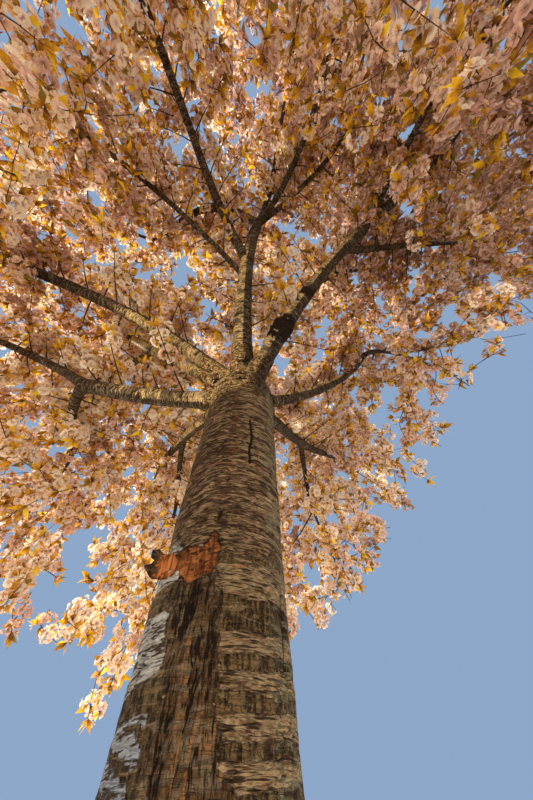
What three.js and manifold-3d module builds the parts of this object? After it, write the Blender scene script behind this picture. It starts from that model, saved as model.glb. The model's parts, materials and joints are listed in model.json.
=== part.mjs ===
// A mature double-flowered cherry tree in full blossom, rooted in level ground.
// Millimetres, +Z up. The origin is the centre of the trunk's flat foot, at ground level.
// Azimuths are degrees round +Z from +X, and pitches are degrees above level.
// The short trunk forks into nine boughs. Limbs grow from the boughs, and each limb that
// ends in the crown carries one mass of blossom: a stem that branches into twigs, with
// balls of blossom and young leaves fused to them.

import * as THREE from "three";
import { mergeVertices } from "three/addons/utils/BufferGeometryUtils.js";
import Module from "manifold-3d";

const GAP = 0.3; // between pieces that meet face to face

// Trunk
const TRUNK_RADIUS = 200; // half a metre up, above the root flare
const FORK_RADIUS = 228; // of the swelling under the fork
const FORK_HEIGHT = 2160; // where the swelling is widest
const CROTCH_HEIGHT = 2400; // top of the rounded head between the boughs
const FOOT_RADIUS = 262; // at ground level, between the root ridges
const FLARE_HEIGHT = 420; // the root flare ends here
const ROOT_RIDGES = 5;
const ROOT_RIDGE_REACH = 58; // how far a ridge stands out at ground level
const TRUNK_LEAN = 0.01; // sideways along X for each millimetre of height
const TRUNK_SIDES = 24;

// Boughs and limbs
const PATH_STEPS = 8; // straight steps that a limb's centre line is worked out in
const CROOK = 5; // degrees that a limb swings from side to side along its length
const COLLAR_SWELL = 1.3; // how much wider a limb's collar is at its root
const COLLAR_MARGIN = 1.28; // spare room between neighbouring collars
const LEAST_TRUNK_COLLAR = 330; // from the trunk's axis, so that a collar clears the head
const BOUGH_SIDES = 8;
const LIMB_SIDES = 6;
const STEP_LENGTH = 420; // of the facets along a limb

// Twigs, blossom and leaves
const STEM_RADIUS = [24, 11]; // of a mass's stem, at its foot and its tip
const STEM_STEPS = 4;
const STEM_SIDES = 5;
const STEM_BEND = 0.45; // where the stem bends, as a share of its way to the centre
const STEM_BEYOND = 0.35; // how far past the centre the stem runs, as a share of its way there
const TWIG_RADIUS = 9; // at most, where a twig starts
const TWIG_TAPER = 0.6; // its tip against its start, and its start against its parent
const TWIG_SIDES = 3;
const SPRAYS = 11; // in each mass, besides the one at its stem's tip
const SPRAY_SPACING = 0.5; // least distance between sprays, as a share of the mass's radius
const SPRAY_REACH = 0.9; // furthest spray, as a share of the mass's radius
const BLOSSOM_RADIUS = 300; // of one faceted ball, which stands for a spray of clusters
const BLOSSOM_RAGGED = 0.25; // how far its corners move in or out
const LEAF_EVERY = 4; // each fourth spray also has a leaf
const LEAF = { length: 340, width: 150, thickness: 8 };
const LEAF_ROOT = 140; // from the centre of its ball of blossom to a leaf's root
const LIMB_CLEARANCE = 12; // of any twig or spray from every limb
const SPACE_CLEARANCE = 8; // of any twig or spray from the next mass's space
const BACKWARD_COST = 0.6; // how much a twig avoids turning back from where its parent grows
const TWIG_TESTS = [0.3, 0.5, 0.7, 0.85]; // shares of a twig at which it is tested for room
const MOST_TRIES = 900; // to find room for the sprays of a mass
const FIRST_SEED = 1000;

// Each limb: what it grows from, and how far along that (height in mm on the trunk,
// otherwise a share of its length), its [first, last] azimuth, pitch and radius, and its
// length from the parent's centre line. mass says where its blossom's centre is from the
// limb's tip (ahead, turned, and up), and the half width and half height of its space.
const LIMBS = {
  bough_left: {
    from: "trunk", at: 2215, azimuth: [160, 183], pitch: [11, 15], length: 1480, radius: [76, 64],
  },
  bough_left_front: {
    from: "trunk", at: 2285, azimuth: [-168, -160], pitch: [49, -4], length: 2800, radius: [72, 46],
    mass: { ahead: 800, turn: -4, up: 160, size: [1120, 900] },
  },
  bough_left_steep: {
    from: "trunk", at: 2295, azimuth: [180, 176], pitch: [34, 51], length: 2250, radius: [62, 40],
    mass: { ahead: 350, turn: 0, up: 780, size: [1150, 880] },
  },
  bough_front: {
    from: "trunk", at: 2340, azimuth: [-101, -80], pitch: [50, 62], length: 2480, radius: [96, 60],
  },
  bough_right_front: {
    from: "trunk", at: 2195, azimuth: [-55, -48], pitch: [51, 23], length: 3000, radius: [82, 50],
  },
  bough_right: {
    from: "trunk", at: 2140, azimuth: [18, -30], pitch: [32, 48], length: 2000, radius: [58, 36],
    mass: { ahead: 1000, turn: 34, up: -60, size: [1100, 860] },
  },
  bough_back_right: {
    from: "trunk", at: 2210, azimuth: [52, 43], pitch: [32, 26], length: 2250, radius: [68, 42],
    mass: { ahead: 850, turn: -4, up: 330, size: [1130, 920] },
  },
  bough_back: {
    from: "trunk", at: 2300, azimuth: [88, 96], pitch: [58, 63], length: 2350, radius: [84, 54],
  },
  bough_back_left: {
    from: "trunk", at: 2220, azimuth: [126, 117], pitch: [31, 24], length: 2150, radius: [66, 42],
    mass: { ahead: 900, turn: -4, up: 380, size: [1130, 920] },
  },
  limb_left_low: {
    from: "bough_left", at: 1, azimuth: [132, 98], pitch: [14, 8], length: 1060, radius: [48, 34],
    mass: { ahead: 700, turn: 25, up: -130, size: [1080, 1020] },
  },
  limb_left_high: {
    from: "bough_left", at: 1, azimuth: [178, 188], pitch: [39, 17], length: 1250, radius: [47, 33],
    mass: { ahead: 750, turn: -16, up: -200, size: [1080, 980] },
  },
  limb_left_back: {
    from: "bough_left_steep", at: 0.58, azimuth: [140, 146], pitch: [24, 14], length: 1450, radius: [36, 26],
    mass: { ahead: 800, turn: 0, up: 180, size: [1080, 900] },
  },
  limb_front_left_long: {
    from: "bough_front", at: 0.66, azimuth: [-130, -113], pitch: [43, -28], length: 2200, radius: [50, 34],
    mass: { ahead: 620, turn: 2, up: -180, size: [1080, 940] },
  },
  limb_front_left_thin: {
    from: "bough_front", at: 0.55, azimuth: [-146, -152], pitch: [49, -50], length: 2300, radius: [31, 21],
    mass: { ahead: 480, turn: 4, up: -330, size: [1100, 1080] },
  },
  limb_left_upper: {
    from: "bough_front", at: 1, azimuth: [208, 132], pitch: [21, 12], length: 1450, radius: [52, 34],
    mass: { ahead: 950, turn: 62, up: 60, size: [1120, 880] },
  },
  limb_front_leader: {
    from: "bough_front", at: 1, azimuth: [-68, -92], pitch: [46, 14], length: 1350, radius: [38, 28],
    mass: { ahead: 720, turn: 6, up: 180, size: [1100, 860] },
  },
  limb_front_low: {
    from: "bough_front", at: 1, azimuth: [-52, -92], pitch: [2, 4], length: 1850, radius: [36, 25],
    mass: { ahead: 380, turn: 0, up: -800, size: [1080, 1080] },
  },
  limb_front_high: {
    from: "bough_front", at: 1, azimuth: [-38, -60], pitch: [22, 12], length: 1450, radius: [34, 25],
    mass: { ahead: 300, turn: 0, up: 850, size: [1080, 900] },
  },
  limb_front_top: {
    from: "bough_front", at: 1, azimuth: [120, 100], pitch: [76, 66], length: 800, radius: [38, 28],
    mass: { ahead: 300, turn: 0, up: 640, size: [1120, 860] },
  },
  limb_right_front_end: {
    from: "bough_right_front", at: 1, azimuth: [-40, -58], pitch: [26, 6], length: 850, radius: [40, 29],
    mass: { ahead: 480, turn: 4, up: 100, size: [1120, 920] },
  },
  limb_right_front_low: {
    from: "bough_right_front", at: 0.84, azimuth: [-82, -74], pitch: [4, -34], length: 1000, radius: [34, 24],
    mass: { ahead: 250, turn: 10, up: -560, size: [1050, 1080] },
  },
  limb_right_high: {
    from: "bough_right_front", at: 0.5, azimuth: [-14, -12], pitch: [60, 48], length: 1300, radius: [38, 28],
    mass: { ahead: 450, turn: 8, up: 480, size: [1120, 860] },
  },
  limb_right_out: {
    from: "bough_right_front", at: 0.68, azimuth: [-8, -16], pitch: [24, 12], length: 1350, radius: [36, 26],
    mass: { ahead: 620, turn: 4, up: 180, size: [1060, 880] },
  },
  limb_back_right_low: {
    from: "bough_back_right", at: 0.66, azimuth: [76, 64], pitch: [8, -20], length: 1050, radius: [36, 25],
    mass: { ahead: 560, turn: -8, up: -420, size: [1080, 1020] },
  },
  limb_back_top: {
    from: "bough_back", at: 1, azimuth: [130, 118], pitch: [70, 58], length: 850, radius: [40, 29],
    mass: { ahead: 150, turn: 120, up: 640, size: [1150, 880] },
  },
  limb_back_out: {
    from: "bough_back", at: 0.55, azimuth: [86, 78], pitch: [26, 10], length: 1550, radius: [42, 30],
    mass: { ahead: 780, turn: 0, up: 260, size: [1130, 920] },
  },
  limb_back_high_right: {
    from: "bough_back", at: 1, azimuth: [34, 30], pitch: [46, 40], length: 1050, radius: [38, 28],
    mass: { ahead: 480, turn: 0, up: 420, size: [1130, 880] },
  },
  limb_back_left_low: {
    from: "bough_back_left", at: 0.66, azimuth: [98, 94], pitch: [6, -20], length: 1150, radius: [36, 25],
    mass: { ahead: 500, turn: 8, up: -420, size: [1080, 1020] },
  },
};

const wasm = await Module();
wasm.setup();

const radians = THREE.MathUtils.degToRad;
const lerp = THREE.MathUtils.lerp;

// A stream of numbers from 0 to 1 that is the same on every run.
function seeded(seed) {
  let state = seed;
  return () => {
    state = (Math.imul(state, 1664525) + 1013904223) >>> 0;
    return state / 4294967296;
  };
}

// The solid of a closed three.js geometry, and the geometry of a solid.
function solidOf(geometry) {
  const bare = geometry.clone();
  bare.deleteAttribute("normal");
  bare.deleteAttribute("uv");
  const merged = mergeVertices(bare, 1e-3);
  const mesh = new wasm.Mesh({
    numProp: 3,
    vertProperties: merged.attributes.position.array,
    triVerts: new Uint32Array(merged.index.array),
  });
  return new wasm.Manifold(mesh);
}

function geometryOf(solid) {
  const mesh = solid.getMesh();
  const geometry = new THREE.BufferGeometry();
  geometry.setAttribute("position", new THREE.BufferAttribute(mesh.vertProperties, 3));
  geometry.setIndex(new THREE.BufferAttribute(mesh.triVerts, 1));
  geometry.computeVertexNormals();
  return geometry;
}

const join = (solids) => solids.reduce((whole, next) => whole.add(next));
const largest = (solid) => solid.decompose().sort((a, b) => b.volume() - a.volume())[0];

// The direction of an azimuth and a pitch.
function heading(azimuth, pitch) {
  const level = Math.cos(radians(pitch));
  return new THREE.Vector3(
    level * Math.cos(radians(azimuth)),
    level * Math.sin(radians(azimuth)),
    Math.sin(radians(pitch)),
  );
}

// A tapering closed tube along a curve, between two distances from its start.
function tube(curve, from, to, radiusAt, sides, steps) {
  const total = curve.getLength();
  const upright = curve.getTangentAt(0.5).z > 0.8;
  const reference = upright ? new THREE.Vector3(1, 0, 0) : new THREE.Vector3(0, 0, 1);
  const geometry = new THREE.CylinderGeometry(1, 1, 1, sides, steps);
  const position = geometry.attributes.position;
  for (let i = 0; i < position.count; i++) {
    const share = THREE.MathUtils.clamp(position.getY(i) + 0.5, 0, 1);
    const distance = lerp(from, to, share);
    const u = THREE.MathUtils.clamp(distance / total, 0, 1);
    const along = curve.getTangentAt(u);
    const side = along.clone().cross(reference).normalize();
    const up = side.clone().cross(along);
    const radius = radiusAt(distance);
    const point = curve.getPointAt(u);
    point.addScaledVector(side, position.getX(i) * radius);
    point.addScaledVector(up, position.getZ(i) * radius);
    position.setXYZ(i, point.x, point.y, point.z);
  }
  return solidOf(geometry);
}

// The trunk: a turned profile from the flat foot to the rounded head, with root ridges.
function trunkAxis(height) {
  return new THREE.Vector3(TRUNK_LEAN * height, 0, height);
}

function trunkBody() {
  const profile = [new THREE.Vector2(0, 0), new THREE.Vector2(FOOT_RADIUS, 0)];
  for (const share of [0.12, 0.3, 0.55, 1]) {
    const swell = (FOOT_RADIUS - TRUNK_RADIUS) * (1 - share) ** 2;
    profile.push(new THREE.Vector2(TRUNK_RADIUS + swell, share * FLARE_HEIGHT));
  }
  for (const share of [0.25, 0.5, 0.75, 1]) {
    const swell = (FORK_RADIUS - TRUNK_RADIUS) * share ** 2;
    profile.push(new THREE.Vector2(TRUNK_RADIUS + swell, lerp(FLARE_HEIGHT, FORK_HEIGHT, share)));
  }
  for (const turn of [30, 60]) {
    const across = FORK_RADIUS * Math.cos(radians(turn));
    const height = lerp(FORK_HEIGHT, CROTCH_HEIGHT, Math.sin(radians(turn)));
    profile.push(new THREE.Vector2(across, height));
  }
  profile.push(new THREE.Vector2(0, CROTCH_HEIGHT));
  const geometry = new THREE.LatheGeometry(profile, TRUNK_SIDES);
  geometry.rotateX(Math.PI / 2);
  const position = geometry.attributes.position;
  for (let i = 0; i < position.count; i++) {
    const point = new THREE.Vector3().fromBufferAttribute(position, i);
    const level = Math.hypot(point.x, point.y);
    const fade = Math.max(0, 1 - point.z / FLARE_HEIGHT) ** 2;
    const ridge = 0.5 + 0.5 * Math.cos(ROOT_RIDGES * Math.atan2(point.y, point.x));
    const grown = level > 1 ? 1 + (ROOT_RIDGE_REACH * fade * ridge) / FOOT_RADIUS : 1;
    position.setXYZ(i, point.x * grown + TRUNK_LEAN * point.z, point.y * grown, point.z);
  }
  return solidOf(geometry);
}

// A limb's centre line: it starts on its parent's and swings a little from side to side.
function limbCurve(start, limb, index) {
  const points = [start];
  for (let i = 0; i < PATH_STEPS; i++) {
    const share = (i + 0.5) / PATH_STEPS;
    const swing = CROOK * Math.sin(5 * share + index) * share;
    const azimuth = lerp(...limb.azimuth, share) + swing;
    const pitch = lerp(...limb.pitch, share) - swing / 2;
    const step = heading(azimuth, pitch).multiplyScalar(limb.length / PATH_STEPS);
    points.push(points[i].clone().add(step));
  }
  return new THREE.CatmullRomCurve3(points);
}

// How long a limb's collar is, so that its end is clear of its parent and its neighbours.
function collarLength(limb, neighbours) {
  const own = heading(limb.azimuth[0], limb.pitch[0]);
  const lengths = neighbours.map((other) => {
    const angle = own.angleTo(heading(other.azimuth[0], other.pitch[0]));
    const radii = (limb.radius[0] + other.radius[0]) * COLLAR_MARGIN;
    return other === limb ? 0 : radii / (2 * Math.sin(angle / 2));
  });
  if (limb.from === "trunk") {
    lengths.push(LEAST_TRUNK_COLLAR);
  } else if (limb.at < 1) {
    const parent = grown[limb.from];
    const angle = own.angleTo(parent.curve.getTangentAt(limb.at));
    const parentRadius = lerp(...LIMBS[limb.from].radius, limb.at);
    lengths.push(((parentRadius + limb.radius[0]) * COLLAR_MARGIN) / Math.sin(angle));
  } else {
    lengths.push(LIMBS[limb.from].radius[1] * 2);
  }
  return Math.max(...lengths);
}

// Works out every limb's centre line, collar and, where it has one, the centre of its mass.
const grown = {};
Object.entries(LIMBS).forEach(([name, limb], index) => {
  const parent = grown[limb.from];
  const start = parent ? parent.curve.getPointAt(limb.at) : trunkAxis(limb.at);
  const curve = limbCurve(start, limb, index);
  const together = (other) => other.from === limb.from && (!parent || (other.at === 1 && limb.at === 1));
  const collar = collarLength(limb, Object.values(LIMBS).filter(together));
  grown[name] = { ...limb, curve, collar, length: curve.getLength() };
  if (limb.mass) {
    const { ahead, turn, up } = limb.mass;
    const centre = curve.getPointAt(1).addScaledVector(heading(limb.azimuth[1] + turn, 0), ahead);
    centre.z += up;
    grown[name].centre = centre;
  }
});

const limbRadius = (limb, distance) => lerp(...limb.radius, distance / limb.length);

// The collar of a limb, which is part of what the limb grows from.
function collar(limb) {
  const swollen = (distance) =>
    limbRadius(limb, distance) * lerp(COLLAR_SWELL, 1, distance / limb.collar);
  const sides = limb.from === "trunk" ? BOUGH_SIDES : LIMB_SIDES;
  return tube(limb.curve, 0, limb.collar, swollen, sides, 1);
}

function limbSolid(name) {
  const limb = grown[name];
  const start = limb.collar + GAP;
  const sides = limb.from === "trunk" ? BOUGH_SIDES : LIMB_SIDES;
  const steps = Math.ceil((limb.length - start) / STEP_LENGTH);
  const own = tube(limb.curve, start, limb.length, (d) => limbRadius(limb, d), sides, steps);
  const children = Object.values(grown).filter((other) => other.from === name);
  return join([own, ...children.map(collar)]);
}

function trunkSolid() {
  const boughs = Object.values(grown).filter((limb) => limb.from === "trunk");
  return join([trunkBody(), ...boughs.map(collar)]);
}

// The stem of a mass: from its limb's tip it bends to the centre of the mass and beyond.
const massive = Object.keys(grown).filter((name) => grown[name].mass);

for (const name of massive) {
  const { curve, centre } = grown[name];
  const foot = curve.getPointAt(1);
  const bend = foot.clone().addScaledVector(curve.getTangentAt(1), foot.distanceTo(centre) * STEM_BEND);
  const tip = centre.clone().addScaledVector(centre.clone().sub(foot), STEM_BEYOND);
  grown[name].stem = new THREE.QuadraticBezierCurve3(foot, bend, tip);
}

// Everything that a twig keeps clear of: the trunk, the limbs and the other masses' stems.
const bars = [];

function addBars(name, points, radiusAt) {
  points.slice(1).forEach((point, i) => {
    bars.push({ name, line: new THREE.Line3(points[i], point), radius: radiusAt(i / (points.length - 1)) });
  });
}

addBars("trunk", [trunkAxis(0), trunkAxis(CROTCH_HEIGHT)], () => FORK_RADIUS);
for (const [name, limb] of Object.entries(grown)) {
  addBars(name, limb.curve.getSpacedPoints(PATH_STEPS * 2), (share) => lerp(...limb.radius, share));
  if (limb.mass) {
    addBars(`stem of ${name}`, limb.stem.getSpacedPoints(STEM_STEPS), () => STEM_RADIUS[0]);
  }
}

function roomFromBars(point, name) {
  const nearest = new THREE.Vector3();
  const others = bars.filter((bar) => bar.name !== `stem of ${name}`);
  const rooms = others.map(({ line, radius }) => {
    line.closestPointToPoint(point, true, nearest);
    return nearest.distanceTo(point) - radius;
  });
  return Math.min(...rooms);
}

// How far a point is inside the space of a mass, which ends halfway to the other centres.
function roomInSpace(point, name) {
  const own = grown[name].centre;
  const rooms = massive.filter((other) => other !== name).map((other) => {
    const centre = grown[other].centre;
    const nearer = point.distanceToSquared(centre) - point.distanceToSquared(own);
    return nearer / (2 * centre.distanceTo(own));
  });
  return Math.min(...rooms);
}

function hasRoom(point, name, radius) {
  const inside = roomInSpace(point, name) > radius + SPACE_CLEARANCE;
  return inside && roomFromBars(point, name) > radius + LIMB_CLEARANCE;
}

// Where the sprays of a mass are: scattered evenly through its space, nearest first.
function sprayPoints(name, random) {
  const { centre, mass, stem } = grown[name];
  const [wide, high] = mass.size;
  const found = [];
  for (let tries = 0; tries < MOST_TRIES && found.length < SPRAYS; tries++) {
    const height = 2 * random() - 1;
    const turn = 2 * Math.PI * random();
    const level = Math.sqrt(1 - height * height);
    const unit = new THREE.Vector3(level * Math.cos(turn), level * Math.sin(turn), height);
    unit.multiplyScalar(SPRAY_REACH * Math.cbrt(random()));
    const point = unit.clone().multiply(new THREE.Vector3(wide, wide, high)).add(centre);
    const apart = found.every((other) => other.unit.distanceTo(unit) > SPRAY_SPACING);
    if (apart && hasRoom(point, name, BLOSSOM_RADIUS)) {
      found.push({ unit, point });
    }
  }
  const distance = (point) => point.distanceTo(stem.v0);
  return found.map(({ point }) => point).sort((a, b) => distance(a) - distance(b));
}

// The node of the twigs so far that a new twig grows from best.
function bestNode(nodes, point) {
  const cost = (node) => {
    const way = point.clone().sub(node.point);
    const distance = way.length();
    return distance * (1 + BACKWARD_COST * (1 - way.dot(node.direction) / distance));
  };
  return nodes.reduce((best, node) => (cost(node) < cost(best) ? node : best));
}

// The twigs of a mass: each spray in turn grows from the best node, if its way is clear.
function growTwigs(name, random) {
  const { stem } = grown[name];
  const joints = stem.getSpacedPoints(STEM_STEPS);
  const nodes = [];
  for (let i = 0.5; i <= STEM_STEPS; i += 0.5) {
    const point = joints[Math.floor(i)].clone().lerp(joints[Math.ceil(i)], 0.5);
    const share = i / STEM_STEPS;
    nodes.push({ point, direction: stem.getTangentAt(share), radius: lerp(...STEM_RADIUS, share) });
  }
  const twigs = [];
  for (const point of sprayPoints(name, random)) {
    const node = bestNode(nodes, point);
    const line = new THREE.LineCurve3(node.point, point);
    if (TWIG_TESTS.every((share) => hasRoom(line.getPoint(share), name, TWIG_RADIUS))) {
      const direction = line.getTangent(0);
      const radius = Math.min(TWIG_RADIUS, node.radius * TWIG_TAPER);
      twigs.push({ line, radius, point, direction });
      nodes.push({ point: line.getPoint(0.5), direction, radius: radius * lerp(1, TWIG_TAPER, 0.5) });
      nodes.push({ point, direction, radius: TWIG_RADIUS });
    }
  }
  return twigs;
}

// A ball of blossom: an octahedron with its corners moved in or out.
function blossom(point, random) {
  const geometry = new THREE.OctahedronGeometry(BLOSSOM_RADIUS);
  const turned = new THREE.Euler(...[0, 1, 2].map(() => 2 * Math.PI * random()));
  const stretch = [0, 1, 2].map(() => 1 - BLOSSOM_RAGGED * random());
  geometry.scale(...stretch);
  geometry.applyMatrix4(new THREE.Matrix4().makeRotationFromEuler(turned));
  geometry.translate(point.x, point.y, point.z);
  return solidOf(geometry);
}

// A leaf: a thin blade of eight faces that points away from its ball of blossom.
function leaf(point, way, random) {
  const geometry = new THREE.OctahedronGeometry(0.5);
  geometry.scale(LEAF.length, LEAF.width, LEAF.thickness);
  geometry.translate(LEAF_ROOT + LEAF.length / 2, 0, 0);
  const turned = new THREE.Quaternion().setFromUnitVectors(new THREE.Vector3(1, 0, 0), way);
  geometry.rotateX(Math.PI * random());
  geometry.applyMatrix4(new THREE.Matrix4().makeRotationFromQuaternion(turned));
  geometry.translate(point.x, point.y, point.z);
  return solidOf(geometry);
}

function twigSolid({ line, radius }) {
  const length = line.getLength();
  const taper = (distance) => radius * lerp(1, TWIG_TAPER, distance / length);
  return tube(line, 0, length, taper, TWIG_SIDES, 1);
}

// One mass of blossom, fused from its stem, twigs, balls and leaves.
function massSolid(name, index) {
  const { stem } = grown[name];
  const random = seeded(FIRST_SEED + index);
  const length = stem.getLength();
  const stemRadius = (distance) => lerp(...STEM_RADIUS, distance / length);
  const twigs = growTwigs(name, random);
  const sprays = [{ point: stem.v2, direction: stem.getTangentAt(1) }, ...twigs];
  const pieces = [tube(stem, GAP, length, stemRadius, STEM_SIDES, STEM_STEPS), ...twigs.map(twigSolid)];
  sprays.forEach(({ point, direction }, i) => {
    pieces.push(blossom(point, random));
    const leafTip = point.clone().addScaledVector(direction, BLOSSOM_RADIUS + LEAF.length);
    if (i % LEAF_EVERY === 0 && hasRoom(leafTip, name, LEAF.width / 2)) {
      pieces.push(leaf(point, direction, random));
    }
  });
  return largest(join(pieces));
}

const BARK = new THREE.MeshStandardMaterial({ color: 0x6b5540, roughness: 0.9, metalness: 0 });
const YOUNG_BARK = new THREE.MeshStandardMaterial({ color: 0x5a4030, roughness: 0.75, metalness: 0 });
const BLOSSOM = new THREE.MeshStandardMaterial({ color: 0xe8a898, roughness: 0.7, metalness: 0 });

const tree = new THREE.Group();

function add(name, solid, material) {
  const mesh = new THREE.Mesh(geometryOf(solid), material);
  mesh.name = name;
  tree.add(mesh);
}

add("trunk", trunkSolid(), BARK);
for (const name of Object.keys(LIMBS)) {
  add(name, limbSolid(name), LIMBS[name].from === "trunk" ? BARK : YOUNG_BARK);
}
massive.forEach((name, index) => {
  add(name.replace(/^(bough|limb)/, "blossom"), massSolid(name, index), BLOSSOM);
});

export default tree;
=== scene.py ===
import json
import math
from collections import namedtuple
from functools import lru_cache

import bmesh
import bpy
import numpy as np
from mathutils import Matrix, Vector, noise

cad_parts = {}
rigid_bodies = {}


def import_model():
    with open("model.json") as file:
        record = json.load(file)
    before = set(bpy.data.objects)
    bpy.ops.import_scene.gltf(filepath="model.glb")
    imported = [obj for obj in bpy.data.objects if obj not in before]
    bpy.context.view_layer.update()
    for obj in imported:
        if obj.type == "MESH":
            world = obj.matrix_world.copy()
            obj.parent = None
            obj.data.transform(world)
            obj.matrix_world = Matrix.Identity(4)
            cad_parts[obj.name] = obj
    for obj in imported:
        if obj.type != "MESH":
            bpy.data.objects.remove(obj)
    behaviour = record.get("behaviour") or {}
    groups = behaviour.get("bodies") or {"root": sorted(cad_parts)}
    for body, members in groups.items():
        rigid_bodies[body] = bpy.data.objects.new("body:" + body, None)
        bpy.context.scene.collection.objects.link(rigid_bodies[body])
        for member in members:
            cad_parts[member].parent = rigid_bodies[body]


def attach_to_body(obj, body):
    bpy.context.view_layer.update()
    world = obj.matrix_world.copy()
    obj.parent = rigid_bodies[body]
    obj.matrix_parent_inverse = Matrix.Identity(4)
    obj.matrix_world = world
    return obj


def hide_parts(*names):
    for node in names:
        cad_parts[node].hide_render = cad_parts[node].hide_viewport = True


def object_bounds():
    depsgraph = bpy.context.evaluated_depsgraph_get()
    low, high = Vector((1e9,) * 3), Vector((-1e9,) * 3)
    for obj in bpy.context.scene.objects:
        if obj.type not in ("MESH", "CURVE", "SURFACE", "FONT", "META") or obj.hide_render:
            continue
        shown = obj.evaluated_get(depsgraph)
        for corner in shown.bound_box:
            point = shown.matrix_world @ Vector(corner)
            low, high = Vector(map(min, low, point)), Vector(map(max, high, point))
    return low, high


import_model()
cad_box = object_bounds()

bl_info = {
    "name": "Cherry blossom tree",
    "version": (1, 0, 0),
    "blender": (4, 5, 0),
    "location": "3D View > Sidebar > Cherry tree",
    "description": "Bark, twigs, double blossom and young leaves for a cherry tree in flower",
    "category": "Object",
}

# The growth rule works in millimetres, as the part's source does, and meshes are in metres.
MM = 0.001

# These keep what is square to an upright line from having no length.
NEARLY_UP = (0.001, 0, 1)
TINY = 1e-6
STEEP = 0.8

# No shoot's end leaves the part's own box.
CROWN_BOX = [np.array(corner) / MM for corner in cad_box]

# Trunk
TRUNK_RADIUS = 200
FORK_RADIUS = 228
FORK_HEIGHT = 2160
CROTCH_HEIGHT = 2400
FOOT_RADIUS = 262
FLARE_HEIGHT = 420
ROOT_RIDGES = 5
ROOT_RIDGE_REACH = 58
TRUNK_LEAN = 0.01

# Boughs and limbs
PATH_STEPS = 8
CROOK = 5
COLLAR_SWELL = 1.3
COLLAR_MARGIN = 1.28
ROUNDED_TIP = 0.7
LEAST_TRUNK_COLLAR = 330
LOWEST_COLLAR = 1700
COLLAR_LEAD = 12
COLLAR_OVERLAP = 70

# Stems and twigs, as the source grows them
STEM_RADIUS = (24, 11)
STEM_STEPS = 4
STEM_BEND = 0.45
STEM_BEYOND = 0.35
TWIG_RADIUS = 9
TWIG_TAPER = 0.6
SPRAYS = 11
SPRAY_SPACING = 0.5
SPRAY_REACH = 0.9
BLOSSOM_RADIUS = 300
LIMB_CLEARANCE = 12
SPACE_CLEARANCE = 8
BACKWARD_COST = 0.6
TWIG_TESTS = (0.3, 0.5, 0.7, 0.85)
MOST_TRIES = 900
FIRST_SEED = 1000

# Shoots, which carry the same rule on to finer wood
SHOOT_TRIES = 4800
SHOOT_SPACING = 0.212
SHOOT_REACH = 1.04
INNER_REACH = 1.3
INNER_CROWN = 3200
SHOOT_ROOM = 45
SHOOT_RADIUS = (8.6, 3.4)
SHOOT_BEND = 0.32
SHOOT_SEED = 5000
SHOOT_BARE = 0.3
HANGING_SHARE = 0.12
SPUR_LENGTH = (18, 60)
SPUR_RADIUS = (3.0, 1.8)
CLUSTER_TURN = 137.5
CLUSTER_ROOM = 46
CLUSTER_OVERLAP = 30

# Short flowering side shoots along the boughs and limbs themselves
BOUGH_SIDE_START = 0.2
LIMB_SIDE_START = 0.06
SIDE_STEP = 72
SIDE_LENGTH = (170, 560)
SIDE_ROOM = 90
SIDE_MARGIN = 60
SIDE_SEED = 9000
DROOPING = 0.16
DROOPING_LENGTH = 0.45

# Where the crown's lower right edge is in the picture, as pixels across and down. Most of what
# is past it is left out, and what is near it is thinned: EDGE_THINNING has how many pixels past
# the edge, and the share kept there.
EDGE_PIXELS = (
    (560, 280), (505, 348), (470, 378), (442, 402), (432, 478), (404, 512), (346, 600), (296, 640),
)
EDGE_SLANT = 0.75
EDGE_TESTS = 9
NEAREST_DEPTH = 0.1
LEAST_STEM = 0.2
LEAST_TWIG = 0.4
EDGE_THINNING = ((-55, 0, 6), (1, 0.45, 0.04))

Mass = namedtuple("Mass", "ahead turn up wide high")
Limb = namedtuple("Limb", "parent at azimuth pitch length radius mass", defaults=[None])
Twig = namedtuple("Twig", "start towards end root_radius tip_radius")
Cluster = namedtuple("Cluster", "mass foot place facing chance")
Tip = namedtuple("Tip", "mass place facing chance")
Spray = namedtuple("Spray", "mass place rotation size kind tint is_tuft")

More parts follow.
